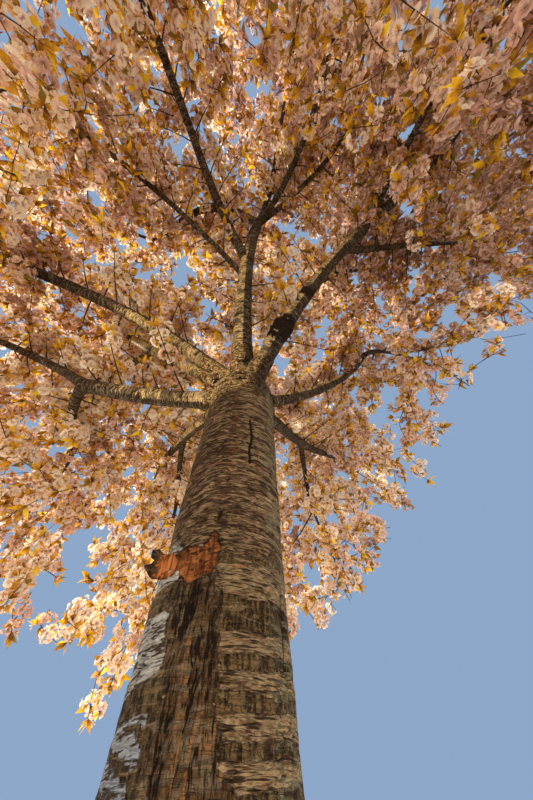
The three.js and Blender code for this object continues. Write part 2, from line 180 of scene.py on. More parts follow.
# What each limb grows from and where, its azimuths, pitches, length and radii, and the place
# and size of its mass of blossom, in the same order as in the part's source.
LIMBS = {
    "bough_left": Limb("trunk", 2215, (160, 183), (11, 15), 1480, (76, 64)),
    "bough_left_front": Limb("trunk", 2285, (-168, -160), (49, -4), 2800, (72, 46),
        Mass(800, -4, 160, 1120, 900)),
    "bough_left_steep": Limb("trunk", 2295, (180, 176), (34, 51), 2250, (62, 40),
        Mass(350, 0, 780, 1150, 880)),
    "bough_front": Limb("trunk", 2340, (-101, -80), (50, 62), 2480, (96, 60)),
    "bough_right_front": Limb("trunk", 2195, (-55, -48), (51, 23), 3000, (82, 50)),
    "bough_right": Limb("trunk", 2140, (18, -30), (32, 48), 2000, (58, 36),
        Mass(1000, 34, -60, 1100, 860)),
    "bough_back_right": Limb("trunk", 2210, (52, 43), (32, 26), 2250, (68, 42),
        Mass(850, -4, 330, 1130, 920)),
    "bough_back": Limb("trunk", 2300, (88, 96), (58, 63), 2350, (84, 54)),
    "bough_back_left": Limb("trunk", 2220, (126, 117), (31, 24), 2150, (66, 42),
        Mass(900, -4, 380, 1130, 920)),
    "limb_left_low": Limb("bough_left", 1, (132, 98), (14, 8), 1060, (48, 34),
        Mass(700, 25, -130, 1080, 1020)),
    "limb_left_high": Limb("bough_left", 1, (178, 188), (39, 17), 1250, (47, 33),
        Mass(750, -16, -200, 1080, 980)),
    "limb_left_back": Limb("bough_left_steep", 0.58, (140, 146), (24, 14), 1450, (36, 26),
        Mass(800, 0, 180, 1080, 900)),
    "limb_front_left_long": Limb("bough_front", 0.66, (-130, -113), (43, -28), 2200, (50, 34),
        Mass(620, 2, -180, 1080, 940)),
    "limb_front_left_thin": Limb("bough_front", 0.55, (-146, -152), (49, -50), 2300, (31, 21),
        Mass(480, 4, -330, 1100, 1080)),
    "limb_left_upper": Limb("bough_front", 1, (208, 132), (21, 12), 1450, (52, 34),
        Mass(950, 62, 60, 1120, 880)),
    "limb_front_leader": Limb("bough_front", 1, (-68, -92), (46, 14), 1350, (38, 28),
        Mass(720, 6, 180, 1100, 860)),
    "limb_front_low": Limb("bough_front", 1, (-52, -92), (2, 4), 1850, (36, 25),
        Mass(380, 0, -800, 1080, 1080)),
    "limb_front_high": Limb("bough_front", 1, (-38, -60), (22, 12), 1450, (34, 25),
        Mass(300, 0, 850, 1080, 900)),
    "limb_front_top": Limb("bough_front", 1, (120, 100), (76, 66), 800, (38, 28),
        Mass(300, 0, 640, 1120, 860)),
    "limb_right_front_end": Limb("bough_right_front", 1, (-40, -58), (26, 6), 850, (40, 29),
        Mass(480, 4, 100, 1120, 920)),
    "limb_right_front_low": Limb("bough_right_front", 0.84, (-82, -74), (4, -34), 1000, (34, 24),
        Mass(250, 10, -560, 1050, 1080)),
    "limb_right_high": Limb("bough_right_front", 0.5, (-14, -12), (60, 48), 1300, (38, 28),
        Mass(450, 8, 480, 1120, 860)),
    "limb_right_out": Limb("bough_right_front", 0.68, (-8, -16), (24, 12), 1350, (36, 26),
        Mass(620, 4, 180, 1060, 880)),
    "limb_back_right_low": Limb("bough_back_right", 0.66, (76, 64), (8, -20), 1050, (36, 25),
        Mass(560, -8, -420, 1080, 1020)),
    "limb_back_top": Limb("bough_back", 1, (130, 118), (70, 58), 850, (40, 29),
        Mass(150, 120, 640, 1150, 880)),
    "limb_back_out": Limb("bough_back", 0.55, (86, 78), (26, 10), 1550, (42, 30),
        Mass(780, 0, 260, 1130, 920)),
    "limb_back_high_right": Limb("bough_back", 1, (34, 30), (46, 40), 1050, (38, 28),
        Mass(480, 0, 420, 1130, 880)),
    "limb_back_left_low": Limb("bough_back_left", 0.66, (98, 94), (6, -20), 1150, (36, 25),
        Mass(500, 8, -420, 1080, 1020)),
}
BOUGHS = [name for name, limb in LIMBS.items() if limb.parent == "trunk"]

# Bark details on the trunk, as angles round it in degrees and heights in millimetres: the strip's
# heights and sides, each band's middle and half width, the upper bands' first, last and step, the
# flap's and cracks' angles and two heights, and the scar's and hole's angle, height and size.
FURROWED_STRIP = ((0, -136, -62), (530, -121, -79), (610, -119, -87), (690, -122, -90), (850, -131, -94))
PEELED_PATCH = (
    (-144, 930), (-130, 941), (-111, 927), (-107, 948), (-104, 966), (-100, 954), (-97, 885),
    (-100, 856), (-111, 848), (-119, 833), (-131, 876), (-142, 880),
)
BARK_FLAP = (-141, 866, 946)
FLAP_REACH = 82
FLAP_CURL = 34
PALE_BANDS = ((842, 40), (715, 18), (656, 13), (598, 15), (548, 14), (480, 16), (410, 14))
UPPER_BANDS = (970, 1900, 44)
BROWN_BANDS = ((640, 24), (815, 28))
BROWN_ROW_STEP = 47
HIGHEST_BROWN_ROW = 612
RUSTY_STREAK = -98
RING_LINE = 1266
EYE_SCAR = (-144, 701, 15)
RIGHT_FISSURE = (-33, 640, 850)
TRUNK_GROOVE = (-75, 1270, 1620)
PATCH_NOTCH = (-103, 1000, 1050)
SMALL_HOLE = (-97, 1170, 11)

# The black burl and the dark ring on a bough: their places along it and their reach
BURLED_BOUGH = "bough_right_front"
BURL = (0.26, 0.055)
BURL_WAY = (-0.2, -0.75, -0.6)
BURL_SWELLING = 0.036
DARK_RING = (0.43, 0.022)

# Where the painted gold of the low sun on the bark comes from, and how far apart in metres two limbs' bark
# patterns are
PAINTED_SUN_WAY = (-0.93, -0.3, 0.2)
PATTERN_STEP = 7

# Camera: the pixel where upright lines meet tells how far it looks up and leans.
PICTURE_SIZE = (533, 800)
ZENITH_PIXEL = (253, 262)
FOCAL_PIXELS = 243
SENSOR_WIDTH = 36
LOOK_AZIMUTH = 12.9
CAMERA_PLACE = (0, -0.95, 0.5)
CLIP_START = 0.05
CLIP_END = 300

# Tints run from 0, the palest, to 4, and change by patch, by spray and outwards; the darkening outwards is
# painted shade.
MIDDLE_TINT = 1.7
TINT_PATCHES = 0.0013
TINT_SPREAD = 2.1
PAINTED_OUTER_SHADE = 0.0003

# How much of the light on a petal or leaf goes through it, the fill light's share of the key,
# and the strength of the light all round
LIGHT_THROUGH = 0.46
FILL_SHARE = 0.27
SKY_STRENGTH = 0.58

PETAL_PIECES = 6
LEAF_PIECES = 2
MOST_TRIANGLES = 200000


def colour_property(label, about, value):
    """A colour that a user may change."""
    return bpy.props.FloatVectorProperty(
        name=label, description=about, subtype="COLOR", size=3, min=0, max=1, default=value,
    )


def length_property(label, about, value):
    """A length in metres that a user may change."""
    return bpy.props.FloatProperty(
        name=label, description=about, unit="LENGTH", min=0.0001, default=value,
    )


class BarkSettings(bpy.types.PropertyGroup):
    """Sizes and colours of the bark."""

    grain: length_property("Trunk grain", "Size of the trunk's smallest faces", 0.009)
    ring_step: length_property("Ring step", "Length of the faces along a bough", 0.012)
    relief: length_property("Relief", "Depth of the bark's plates and furrows", 0.006)
    crevice: colour_property("Crevice", "Colour deep in the bark", (0.022, 0.009, 0.003))
    brown: colour_property("Brown", "Colour of weathered bark", (0.130, 0.068, 0.030))
    tan: colour_property("Tan", "Colour of the smooth pale bands", (0.54, 0.41, 0.24))
    silver: colour_property("Silver", "Colour of the pale plates on the left", (0.62, 0.61, 0.57))
    rust: colour_property("Rust", "Colour of the fresh inner bark", (0.45, 0.165, 0.048))
    # Painted sunlight: this gold is laid on the bark's side that faces the low sun, and on the fork's
    # curled rings.
    painted_sun_gold: colour_property("Golden", "Colour of the rings on the boughs", (1.0, 0.76, 0.38))
    dark: colour_property("Dark", "Colour of the limbs and twigs", (0.050, 0.028, 0.014))
    lichen: colour_property("Lichen", "Colour of the lichen on the right", (0.27, 0.27, 0.17))


class BlossomSettings(bpy.types.PropertyGroup):
    """Sizes and colours of the flowers and leaves."""

    flower: length_property("Flower", "Width of a double flower", 0.079)
    stalk: length_property("Stalk", "Length of a flower's stalk", 0.062)
    leaf: length_property("Leaf", "Length of a young leaf", 0.1)
    cluster_step: length_property("Cluster step", "Distance between clusters on a shoot", 0.088)
    shoots: bpy.props.IntProperty(
        name="Shoots", description="Shoots in each mass of blossom", min=1, default=134,
    )
    cream: colour_property("Cream", "Palest petals", (0.96, 0.91, 0.80))
    blush: colour_property("Blush", "Pale pink petals", (0.93, 0.80, 0.69))
    peach: colour_property("Peach", "Warm pink petals", (0.90, 0.67, 0.55))
    rose: colour_property("Rose", "Deeper pink petals", (0.77, 0.50, 0.44))
    # Painted shade: the colour of petals in shade, also laid at the roots of other petals.
    painted_shade_petal: colour_property("Dusk", "Darkest petals", (0.42, 0.27, 0.21))
    gold: colour_property("Gold", "Backlit young leaves", (0.82, 0.48, 0.02))
    yellow: colour_property("Yellow", "Palest young leaves", (0.92, 0.68, 0.04))
    bronze: colour_property("Bronze", "Young leaves in shade", (0.34, 0.15, 0.02))
    olive: colour_property("Olive", "Older leaves", (0.25, 0.20, 0.02))


class StageSettings(bpy.types.PropertyGroup):
    """Light and floor."""

    floor: length_property("Floor radius", "Radius of the floor", 60)
    floor_colour: colour_property("Floor", "Colour of the floor", (0.56, 0.53, 0.48))
    sky: colour_property("Backdrop", "Colour of the light all round", (0.46, 0.67, 1.0))
    key: bpy.props.FloatProperty(name="Key", description="Strength of the key light", default=12)


def lerp(first, last, share):
    return first + (last - first) * share


def unit(vectors):
    return vectors / np.linalg.norm(vectors, axis=-1, keepdims=True)


def smooth_step(low, high, values):
    share = np.clip((values - low) / (high - low), 0, 1)
    return share * share * (3 - 2 * share)


def seeded(seed):
    """A stream of numbers from 0 to 1 that is the same on every run."""
    state = seed

    def draw():
        nonlocal state
        state = (state * 1664525 + 1013904223) % 4294967296
        return state / 4294967296

    return draw


def spread_again(chance, factor):
    """Another number from 0 to 1 made from one, so that one draw settles several things."""
    return (chance * factor) % 1


def loose_way(draw):
    """A short vector any way, within half a unit each way."""
    return np.array([draw() - 0.5 for _ in range(3)])


def heading(azimuth, pitch):
    """The direction of an azimuth and a pitch in degrees."""
    turn, rise = math.radians(azimuth), math.radians(pitch)
    return np.array([math.cos(rise) * math.cos(turn), math.cos(rise) * math.sin(turn), math.sin(rise)])


class Path:
    """A smooth line through points, measured along its length."""

    DIVISIONS = 200
    NUDGE = 0.0001

    def __init__(self, points):
        self.points = np.array(points, float)
        samples = self.raw(np.linspace(0, 1, self.DIVISIONS + 1))
        steps = np.linalg.norm(np.diff(samples, axis=0), axis=1)
        self.measured = np.concatenate([[0], np.cumsum(steps)])
        self.length = self.measured[-1]

    def raw(self, shares):
        """Points of a centripetal Catmull-Rom line."""
        count = len(self.points) - 1
        ends = [2 * self.points[0] - self.points[1], 2 * self.points[-1] - self.points[-2]]
        knots = np.vstack([ends[0], self.points, ends[1]])
        index = np.minimum((shares * count).astype(int), count - 1)
        along = (shares * count - index)[:, None]
        before, start, end, after = (knots[index + k] for k in range(4))
        gaps = [
            np.sqrt(np.linalg.norm(b - a, axis=1))[:, None]
            for a, b in ((before, start), (start, end), (end, after))
        ]
        leave = ((start - before) / gaps[0] - (end - before) / (gaps[0] + gaps[1])
            + (end - start) / gaps[1]) * gaps[1]
        arrive = ((end - start) / gaps[1] - (after - start) / (gaps[1] + gaps[2])
            + (after - end) / gaps[2]) * gaps[1]
        square = -3 * start + 3 * end - 2 * leave - arrive
        cube = 2 * start - 2 * end + leave + arrive
        return start + leave * along + square * along ** 2 + cube * along ** 3

    def shares_at(self, shares):
        divisions = np.linspace(0, 1, self.DIVISIONS + 1)
        return np.interp(np.asarray(shares, float) * self.length, self.measured, divisions)

    def at(self, shares):
        found = self.raw(np.atleast_1d(self.shares_at(shares)))
        return found if np.ndim(shares) else found[0]

    def tangent(self, shares):
        middle = np.atleast_1d(self.shares_at(shares))
        low, high = np.maximum(middle - self.NUDGE, 0), np.minimum(middle + self.NUDGE, 1)
        found = unit(self.raw(high) - self.raw(low))
        return found if np.ndim(shares) else found[0]

    def spaced(self, steps):
        return self.at(np.linspace(0, 1, steps + 1))


class Bend(Path):
    """A line from one point to another that leaves towards a third."""

    def raw(self, shares):
        start, towards, end = self.points
        left = shares[:, None]
        return (1 - left) ** 2 * start + 2 * (1 - left) * left * towards + left ** 2 * end


def trunk_axis(height):
    return np.array([TRUNK_LEAN * height, 0, height])


def limb_path(start, limb, index):
    """A limb's centre line, which swings a little from side to side."""
    points = [start]
    for step in range(PATH_STEPS):
        share = (step + 0.5) / PATH_STEPS
        swing = CROOK * math.sin(5 * share + index) * share
        azimuth = lerp(*limb.azimuth, share) + swing
        pitch = lerp(*limb.pitch, share) - swing / 2
        points.append(points[-1] + heading(azimuth, pitch) * limb.length / PATH_STEPS)
    return Path(points)


def angle_between(first, second):
    return math.acos(min(1, max(-1, float(np.dot(first, second)))))


def collar_length(limb, paths):
    """How long a limb's collar is, so that its end is clear of its parent and neighbours."""
    own = heading(limb.azimuth[0], limb.pitch[0])
    lengths = [0]
    for other in LIMBS.values():
        both_at_tip = limb.parent == "trunk" or (other.at == 1 and limb.at == 1)
        if other is not limb and other.parent == limb.parent and both_at_tip:
            angle = angle_between(own, heading(other.azimuth[0], other.pitch[0]))
            radii = (limb.radius[0] + other.radius[0]) * COLLAR_MARGIN
            lengths.append(radii / (2 * math.sin(angle / 2)))
    if limb.parent == "trunk":
        lengths.append(LEAST_TRUNK_COLLAR)
    elif limb.at < 1:
        angle = angle_between(own, paths[limb.parent].tangent(limb.at))
        parent_radius = lerp(*LIMBS[limb.parent].radius, limb.at)
        lengths.append((parent_radius + limb.radius[0]) * COLLAR_MARGIN / math.sin(angle))
    else:
        lengths.append(LIMBS[limb.parent].radius[1] * 2)
    return max(lengths)


def camera_axes():
    """The camera's right, up and forward directions, from where upright lines meet."""
    zenith = unit(np.array([
        ZENITH_PIXEL[0] - PICTURE_SIZE[0] / 2,
        PICTURE_SIZE[1] / 2 - ZENITH_PIXEL[1],
        FOCAL_PIXELS,
    ]))
    level = unit(np.array([0, 0, 1]) - zenith * zenith[2])
    right = np.cross(level, zenith)
    right = right * np.sign(right[0])
    azimuth = math.radians(LOOK_AZIMUTH)
    level_forward = np.array([math.sin(azimuth), math.cos(azimuth), 0])
    level_right = np.array([math.cos(azimuth), -math.sin(azimuth), 0])
    up = np.array([0, 0, 1])
    return [right[k] * level_right + level[k] * level_forward + zenith[k] * up for k in range(3)]


def picture_gap(points):
    """How many pixels each point lies past the crown's lower right edge in the picture."""
    right, up, forward = camera_axes()
    away = points * MM - np.array(CAMERA_PLACE)
    depth = away @ forward
    safe = np.maximum(depth, NEAREST_DEPTH)
    across = PICTURE_SIZE[0] / 2 + FOCAL_PIXELS * (away @ right) / safe
    down = PICTURE_SIZE[1] / 2 - FOCAL_PIXELS * (away @ up) / safe
    heights = [place[1] for place in EDGE_PIXELS]
    edge = np.interp(down, heights, [place[0] for place in EDGE_PIXELS])
    gap = (across - edge) * EDGE_SLANT
    return np.where((depth > NEAREST_DEPTH) & (down > heights[0]), gap, -math.inf)


def kept_part(start, towards, end, least=LEAST_TWIG, always=False):
    """The part of a bend that isn't past the crown's lower right edge, or nothing if it is short.

    A bend that is always kept has at least its least part instead.
    """
    bend = Bend([start, towards, end])
    shares = np.linspace(0, 1, EDGE_TESTS)
    past = picture_gap(bend.raw(shares)) > 0
    if not past.any():
        return start, towards, end
    share = shares[np.argmax(past)]
    if share < least and not always:
        return None
    share = max(share, least)
    return start, lerp(start, towards, share), bend.raw(np.array([share]))[0]


class Bars:
    """Everything that a twig keeps clear of: the trunk, the limbs and the masses' stems."""

    def __init__(self):
        self.names, self.starts, self.ends, self.radii = [], [], [], []

    def add(self, name, points, radius_at):
        for index, (start, end) in enumerate(zip(points[:-1], points[1:])):
            self.names.append(name)
            self.starts.append(start)
            self.ends.append(end)
            self.radii.append(radius_at(index / (len(points) - 1)))

    def close(self):
        self.starts, self.radii = np.array(self.starts), np.array(self.radii)
        self.ways = np.array(self.ends) - self.starts
        self.squares = np.sum(self.ways ** 2, axis=1)
        self.names = np.array(self.names)

    def without(self, name=""):
        """The bars but those of one name."""
        keep = self.names != name
        return self.starts[keep], self.ways[keep], self.squares[keep], self.radii[keep]


class Crown:
    """The whole tree's wood, worked out by the source's rule and carried on to shoots."""

    def __init__(self, shoots, cluster_step):
        self.lay_limbs()
        self.lay_stems()
        self.bars = self.all_bars()
        self.twigs, self.shoots, self.clusters, self.tips = [], [], [], []
        for index, name in enumerate(self.masses):
            self.enter(name)
            nodes = self.stem_nodes(name)
            twigs = self.grow_twigs(name, nodes, seeded(FIRST_SEED + index))
            draw = seeded(SHOOT_SEED + index)
            found = self.grow_shoots(name, nodes, draw, shoots)
            self.set_clusters(name, found + twigs, draw, cluster_step)
        for index, name in enumerate(LIMBS):
            self.grow_side_shoots(name, seeded(SIDE_SEED + index), cluster_step)
        self.clusters = self.trimmed(self.clusters, [cluster.foot for cluster in self.clusters])
        self.tips = self.trimmed(self.tips, [tip.place for tip in self.tips])

    def lay_limbs(self):
        """The limbs' centre lines and collars, and the middles of their masses."""
        self.paths, self.collars, self.centres = {}, {}, {}
        for index, (name, limb) in enumerate(LIMBS.items()):
            on_trunk = limb.parent == "trunk"
            start = trunk_axis(limb.at) if on_trunk else self.paths[limb.parent].at(limb.at)
            path = limb_path(start, limb, index)
            self.paths[name] = path
            self.collars[name] = collar_length(limb, self.paths)
            if limb.mass:
                centre = path.at(1) + heading(limb.azimuth[1] + limb.mass.turn, 0) * limb.mass.ahead
                self.centres[name] = centre + np.array([0, 0, limb.mass.up])
        self.masses = list(self.centres)

    def lay_stems(self):
        """The stem of each mass, which carries on from its limb and bends towards its middle."""
        self.stems = {}
        for name in self.masses:
            foot, centre = self.paths[name].at(1), self.centres[name]
            leave = self.paths[name].tangent(1) * np.linalg.norm(centre - foot) * STEM_BEND
            tip = centre + (centre - foot) * STEM_BEYOND
            self.stems[name] = Bend(kept_part(foot, foot + leave, tip, LEAST_STEM, always=True))

    def all_bars(self):
        bars = Bars()
        bars.add("trunk", [trunk_axis(0), trunk_axis(CROTCH_HEIGHT)], lambda share: FORK_RADIUS)
        for name, limb in LIMBS.items():
            joints = self.paths[name].spaced(PATH_STEPS * 2)
            bars.add(name, joints, lambda share: lerp(*limb.radius, share))
            if limb.mass:
                joints = self.stems[name].spaced(STEM_STEPS)
                bars.add(f"stem of {name}", joints, lambda share: STEM_RADIUS[0])
        bars.close()
        return bars

    def trimmed(self, entries, places):
        """Leaves out what hangs past the crown's lower right edge, and thins what is near it."""
        kept = np.interp(picture_gap(np.array(places)), *EDGE_THINNING)
        return [entry for entry, share in zip(entries, kept) if spread_again(entry.chance, 53) < share]

    def enter(self, name):
        """Makes ready what tells how much room there is for this mass."""
        self.own_bars = self.bars.without(f"stem of {name}")
        self.own_centre = self.centres[name]
        self.others = np.array([self.centres[other] for other in self.masses if other != name])
        self.spans = np.linalg.norm(self.others - self.own_centre, axis=1)

    def room_in_space(self, point):
        """How far a point is inside its mass's space, which ends halfway to the others."""
        if not len(self.others):
            return math.inf
        nearer = np.sum((self.others - point) ** 2, axis=1) - np.sum((self.own_centre - point) ** 2)
        return np.min(nearer / (2 * self.spans))

    def room_from_bars(self, point):
        starts, ways, squares, radii = self.own_bars
        shares = np.clip(np.sum((point - starts) * ways, axis=1) / squares, 0, 1)
        nearest = starts + ways * shares[:, None]
        return np.min(np.linalg.norm(nearest - point, axis=1) - radii)

    def has_room(self, point, radius):
        if np.any(point < CROWN_BOX[0]) or np.any(point > CROWN_BOX[1]):
            return False
        inside = self.room_in_space(point) > radius + SPACE_CLEARANCE
        return inside and self.room_from_bars(point) > radius + LIMB_CLEARANCE

    def scatter(self, name, draw, count, tries, spacing, reach, room):
        """Where the sprays of a mass are: scattered evenly through its space, nearest first."""
        mass, centre = LIMBS[name].mass, self.centres[name]
        half_size = np.array([mass.wide, mass.wide, mass.high])
        places, found = [], []
        for _ in range(tries):
            height = 2 * draw() - 1
            turn = 2 * math.pi * draw()
            level = math.sqrt(1 - height * height)
            place = np.array([level * math.cos(turn), level * math.sin(turn), height])
            place = place * reach * np.cbrt(draw())
            point = place * half_size + centre
            if place @ place > SPRAY_REACH ** 2 and not self.within_reach(place, point):
                continue
            apart = not places or np.min(np.linalg.norm(np.array(places) - place, axis=1)) > spacing
            if apart and self.has_room(point, room):
                places.append(place)
                found.append(point)
            if len(found) == count:
                break
        foot = self.stems[name].points[0]
        return sorted(found, key=lambda point: np.linalg.norm(point - foot))

    def within_reach(self, place, point):
        """Whether a far point is in reach: the inner crown is filled up to its masses' borders."""
        reach = INNER_REACH if np.hypot(point[0], point[1]) < INNER_CROWN else SHOOT_REACH
        return place @ place < reach ** 2

    def stem_nodes(self, name):
        """The points along a stem that twigs may grow from."""
        stem = self.stems[name]
        joints = stem.spaced(STEM_STEPS)
        nodes = []
        for half in range(1, STEM_STEPS * 2 + 1):
            point = (joints[half // 2] + joints[(half + 1) // 2]) / 2
            share = half / 2 / STEM_STEPS
            nodes.append((point, stem.tangent(share), lerp(*STEM_RADIUS, share)))
        return nodes

    def best_node(self, nodes, point):
        """The node that a new twig grows from best."""
        ways = point - np.array([node[0] for node in nodes])
        distances = np.linalg.norm(ways, axis=1)
        turned = 1 - np.sum(ways * np.array([node[1] for node in nodes]), axis=1) / distances
        return nodes[int(np.argmin(distances * (1 + BACKWARD_COST * turned)))]

    def is_clear(self, start, end, radius):
        return all(self.has_room(lerp(start, end, share), radius) for share in TWIG_TESTS)

    def grow_twigs(self, name, nodes, draw):
        """Grows the twigs that the source grows, each from the best node so far."""
        found = []
        points = self.scatter(
            name, draw, SPRAYS, MOST_TRIES, SPRAY_SPACING, SPRAY_REACH, BLOSSOM_RADIUS)
        for point in points:
            start, direction, node_radius = self.best_node(nodes, point)
            if self.is_clear(start, point, TWIG_RADIUS):
                way = unit(point - start)
                radius = min(TWIG_RADIUS, node_radius * TWIG_TAPER)
                middle = lerp(start, point, 0.5) + direction * 0.12 * np.linalg.norm(point - start)
                kept = kept_part(start, middle, point)
                if kept:
                    found.append(Twig(*kept, radius * 1.2, radius * TWIG_TAPER))
                    nodes.append((kept[1], way, radius * lerp(1, TWIG_TAPER, 0.5)))
                    nodes.append((kept[2], way, TWIG_RADIUS))
        self.twigs.extend(found)
        return found

    def grow_shoots(self, name, nodes, draw, count):
        """Grows finer shoots by the same rule, which leave the way their parent grows."""
        found = []
        points = self.scatter(
            name, draw, count, SHOOT_TRIES, SHOOT_SPACING, INNER_REACH, SHOOT_ROOM)
        for point in points:
            start, direction, node_radius = self.best_node(nodes, point)
            if self.is_clear(start, point, SHOOT_RADIUS[0]):
                distance = np.linalg.norm(point - start)
                towards = start + (direction + np.array([0, 0, 0.3])) * distance * SHOOT_BEND
                kept = kept_part(start, towards, point)
                if kept:
                    radius = min(SHOOT_RADIUS[0], node_radius * TWIG_TAPER)
                    found.append(Twig(*kept, radius, SHOOT_RADIUS[1]))
                    way = unit(point - start)
                    middle = (start + 2 * kept[1] + kept[2]) / 4
                    nodes.append((middle, way, radius))
                    nodes.append((kept[2], way, radius))
        self.shoots.extend(found)
        return found

    def grow_side_shoots(self, name, draw, cluster_step):
        """Grows short shoots along a limb, mostly from its upper side, where they have room."""
        path, limb = self.paths[name], LIMBS[name]
        mass = name if limb.mass else self.nearest_mass(path.at(1))
        self.enter(mass)
        self.own_bars = self.bars.without(name)
        first = BOUGH_SIDE_START if name in BOUGHS else LIMB_SIDE_START
        start = max(first * path.length, self.collars[name] + SIDE_MARGIN)
        count = int((path.length - start) / SIDE_STEP)
        turn, found = 360 * draw(), []
        for step in range(count):
            share = (start + SIDE_STEP * (step + 0.6 * draw())) / path.length
            along = path.tangent(share)
            turn += CLUSTER_TURN
            aside = unit(np.cross(along, NEARLY_UP))
            upright = np.cross(aside, along)
            bearing = math.radians(turn)
            foot = path.at(share)
            droops = along[2] < DROOPING and foot[1] > 0
            rise = math.sin(bearing) if droops else abs(math.sin(bearing))
            out = aside * math.cos(bearing) + upright * rise * (0.3 + draw())
            way = unit(out + along * lerp(0.2, 0.9, draw()))
            reach = lerp(*SIDE_LENGTH, draw()) * (DROOPING_LENGTH if droops else 1)
            end = foot + way * (reach + lerp(*limb.radius, share))
            kept = kept_part(foot, lerp(foot, end, 0.5) + along * 30, end)
            if kept and self.room_from_bars(end) > SIDE_ROOM:
                found.append(Twig(*kept, *SHOOT_RADIUS))
        self.shoots.extend(found)
        self.own_bars = self.bars.without()
        self.others = np.empty((0, 3))
        self.set_clusters(mass, found, draw, cluster_step)

    def nearest_mass(self, point):
        return min(self.masses, key=lambda name: np.linalg.norm(self.centres[name] - point))

    def set_clusters(self, name, shoots, draw, step):
        """Sets clusters of blossom on spurs round each shoot, and a tuft of leaves at its tip."""
        for shoot in shoots:
            bend = Bend(shoot[:3])
            count = max(1, round(bend.length * (1 - SHOOT_BARE) / step))
            turn = 360 * draw()
            for index in range(count):
                share = SHOOT_BARE + (1 - SHOOT_BARE) * (index + 0.3 + 0.5 * draw()) / count
                along = bend.tangent(share)
                turn += CLUSTER_TURN
                aside = unit(np.cross(along, [0, 0, 1]) + TINY)
                upright = np.cross(aside, along)
                bearing = math.radians(turn)
                rise = math.sin(bearing)
                if draw() > HANGING_SHARE:
                    rise = 0.25 + abs(rise)
                out = aside * math.cos(bearing) + upright * rise
                foot = bend.at(share)
                spur = foot + out * lerp(*SPUR_LENGTH, draw())
                loose = loose_way(draw) * 0.6
                facing = unit(out * 0.8 + along * 0.25 + np.array([0, 0, -0.1]) + loose)
                if self.room_in_space(spur) > -CLUSTER_OVERLAP and self.room_from_bars(spur) > CLUSTER_ROOM:
                    self.clusters.append(Cluster(name, foot, spur, facing, draw()))
            self.tips.append(Tip(name, shoot.end, bend.tangent(1), draw()))


@lru_cache(maxsize=None)
def crown():
    """The tree's wood, worked out once."""
    settings = bpy.context.scene.cherry_blossom
    return Crown(settings.shoots, settings.cluster_step / MM)


# Meshes


def mesh_of(name, points, faces, tints=None):
    """A mesh from arrays of points, triangles and the triangles' material numbers."""
    mesh = bpy.data.meshes.new(name)
    mesh.vertices.add(len(points))
    mesh.vertices.foreach_set("co", points.astype(np.float32).ravel())
    mesh.loops.add(faces.size)
    mesh.loops.foreach_set("vertex_index", faces.astype(np.int32).ravel())
    mesh.polygons.add(len(faces))
    mesh.polygons.foreach_set("loop_start", np.arange(0, faces.size, 3, dtype=np.int32))
    if tints is not None:
        mesh.polygons.foreach_set("material_index", tints.astype(np.int32))
    mesh.update(calc_edges=True)
    mesh.shade_smooth()
    return mesh


def mesh_from(shape, name):
    """A mesh from a bmesh, which isn't needed any more."""
    mesh = bpy.data.meshes.new(name)
    shape.to_mesh(mesh)
    shape.free()
    return mesh


def put_in_scene(name, data):
    """A new object for a mesh, a light or a camera."""
    made = bpy.data.objects.new(name, data)
    bpy.context.scene.collection.objects.link(made)
    return made


def add_piece(name, mesh, materials, replaced):
    """Puts a finished mesh in the scene as a piece that stands for CAD nodes."""
    triangles = sum(len(face.vertices) - 2 for face in mesh.polygons)
    if triangles > MOST_TRIANGLES:
        raise RuntimeError(f"{name} has {triangles} triangles")
    print(f"{name}: {triangles} triangles")
    piece = put_in_scene(name, mesh)
    for material in materials:
        mesh.materials.append(material)
    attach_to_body(piece, "root")
    if replaced:
        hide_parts(*replaced)
    return piece


def store(mesh, **columns):
    """Stores numbers or vectors for the points of a mesh, each column under its name."""
    for name, values in columns.items():
        kind, key = ("FLOAT_VECTOR", "vector") if values.ndim == 2 else ("FLOAT", "value")
        attribute = mesh.attributes.new(name, kind, "POINT")
        attribute.data.foreach_set(key, values.astype(np.float32).ravel())


def read_points(mesh):
    points = np.empty(len(mesh.vertices) * 3, np.float32)
    mesh.vertices.foreach_get("co", points)
    return points.reshape(-1, 3).astype(float)


def write_points(mesh, points):
    mesh.vertices.foreach_set("co", points.astype(np.float32).ravel())
    mesh.update()


def noise_at(points, scale, shift=0.0):
    """Smooth noise from -1 to 1 at each point."""
    moved = (points * np.array(scale) + shift).tolist()
    return np.fromiter((noise.noise(point) for point in moved), float, len(moved))


def tube_frames(path, distances):
    """Centre, side and up at distances along a path."""
    shares = np.clip(distances / path.length, 0, 1)
    along = path.tangent(shares)
    upright = path.tangent(0.5)[2] > STEEP
    reference = np.array([1.0, 0, 0] if upright else [0, 0, 1.0])
    side = unit(np.cross(along, reference))
    return path.at(shares), side, np.cross(along, side)


def ringed_relief(straight):
    """How far the ringed bark of a limb stands out, from -1 to 1."""
    rings = 1 - 2 * np.abs(noise_at(straight, (7, 7, 40)))
    fine = noise_at(straight, (16, 16, 78), 40)
    return np.clip(rings * 0.75 + fine * 0.45, -1, 1)


def add_tube(shape, sides, cuts):
    """A closed tube of radius and length one, cut along its length."""
    made = bmesh.ops.create_cone(
        shape, cap_ends=True, cap_tris=False, segments=sides, radius1=1, radius2=1, depth=1)
    long_edges = {
        edge for vert in made["verts"] for edge in vert.link_edges
        if abs(edge.verts[0].co.z - edge.verts[1].co.z) > 0.5
    }
    bmesh.ops.subdivide_edges(shape, edges=list(long_edges), cuts=cuts)


def first_distance(limb):
    """Where a limb's tube starts: just inside its collar on the trunk, or in its parent's middle."""
    return crown().collars[limb] - COLLAR_OVERLAP if limb in BOUGHS else 0


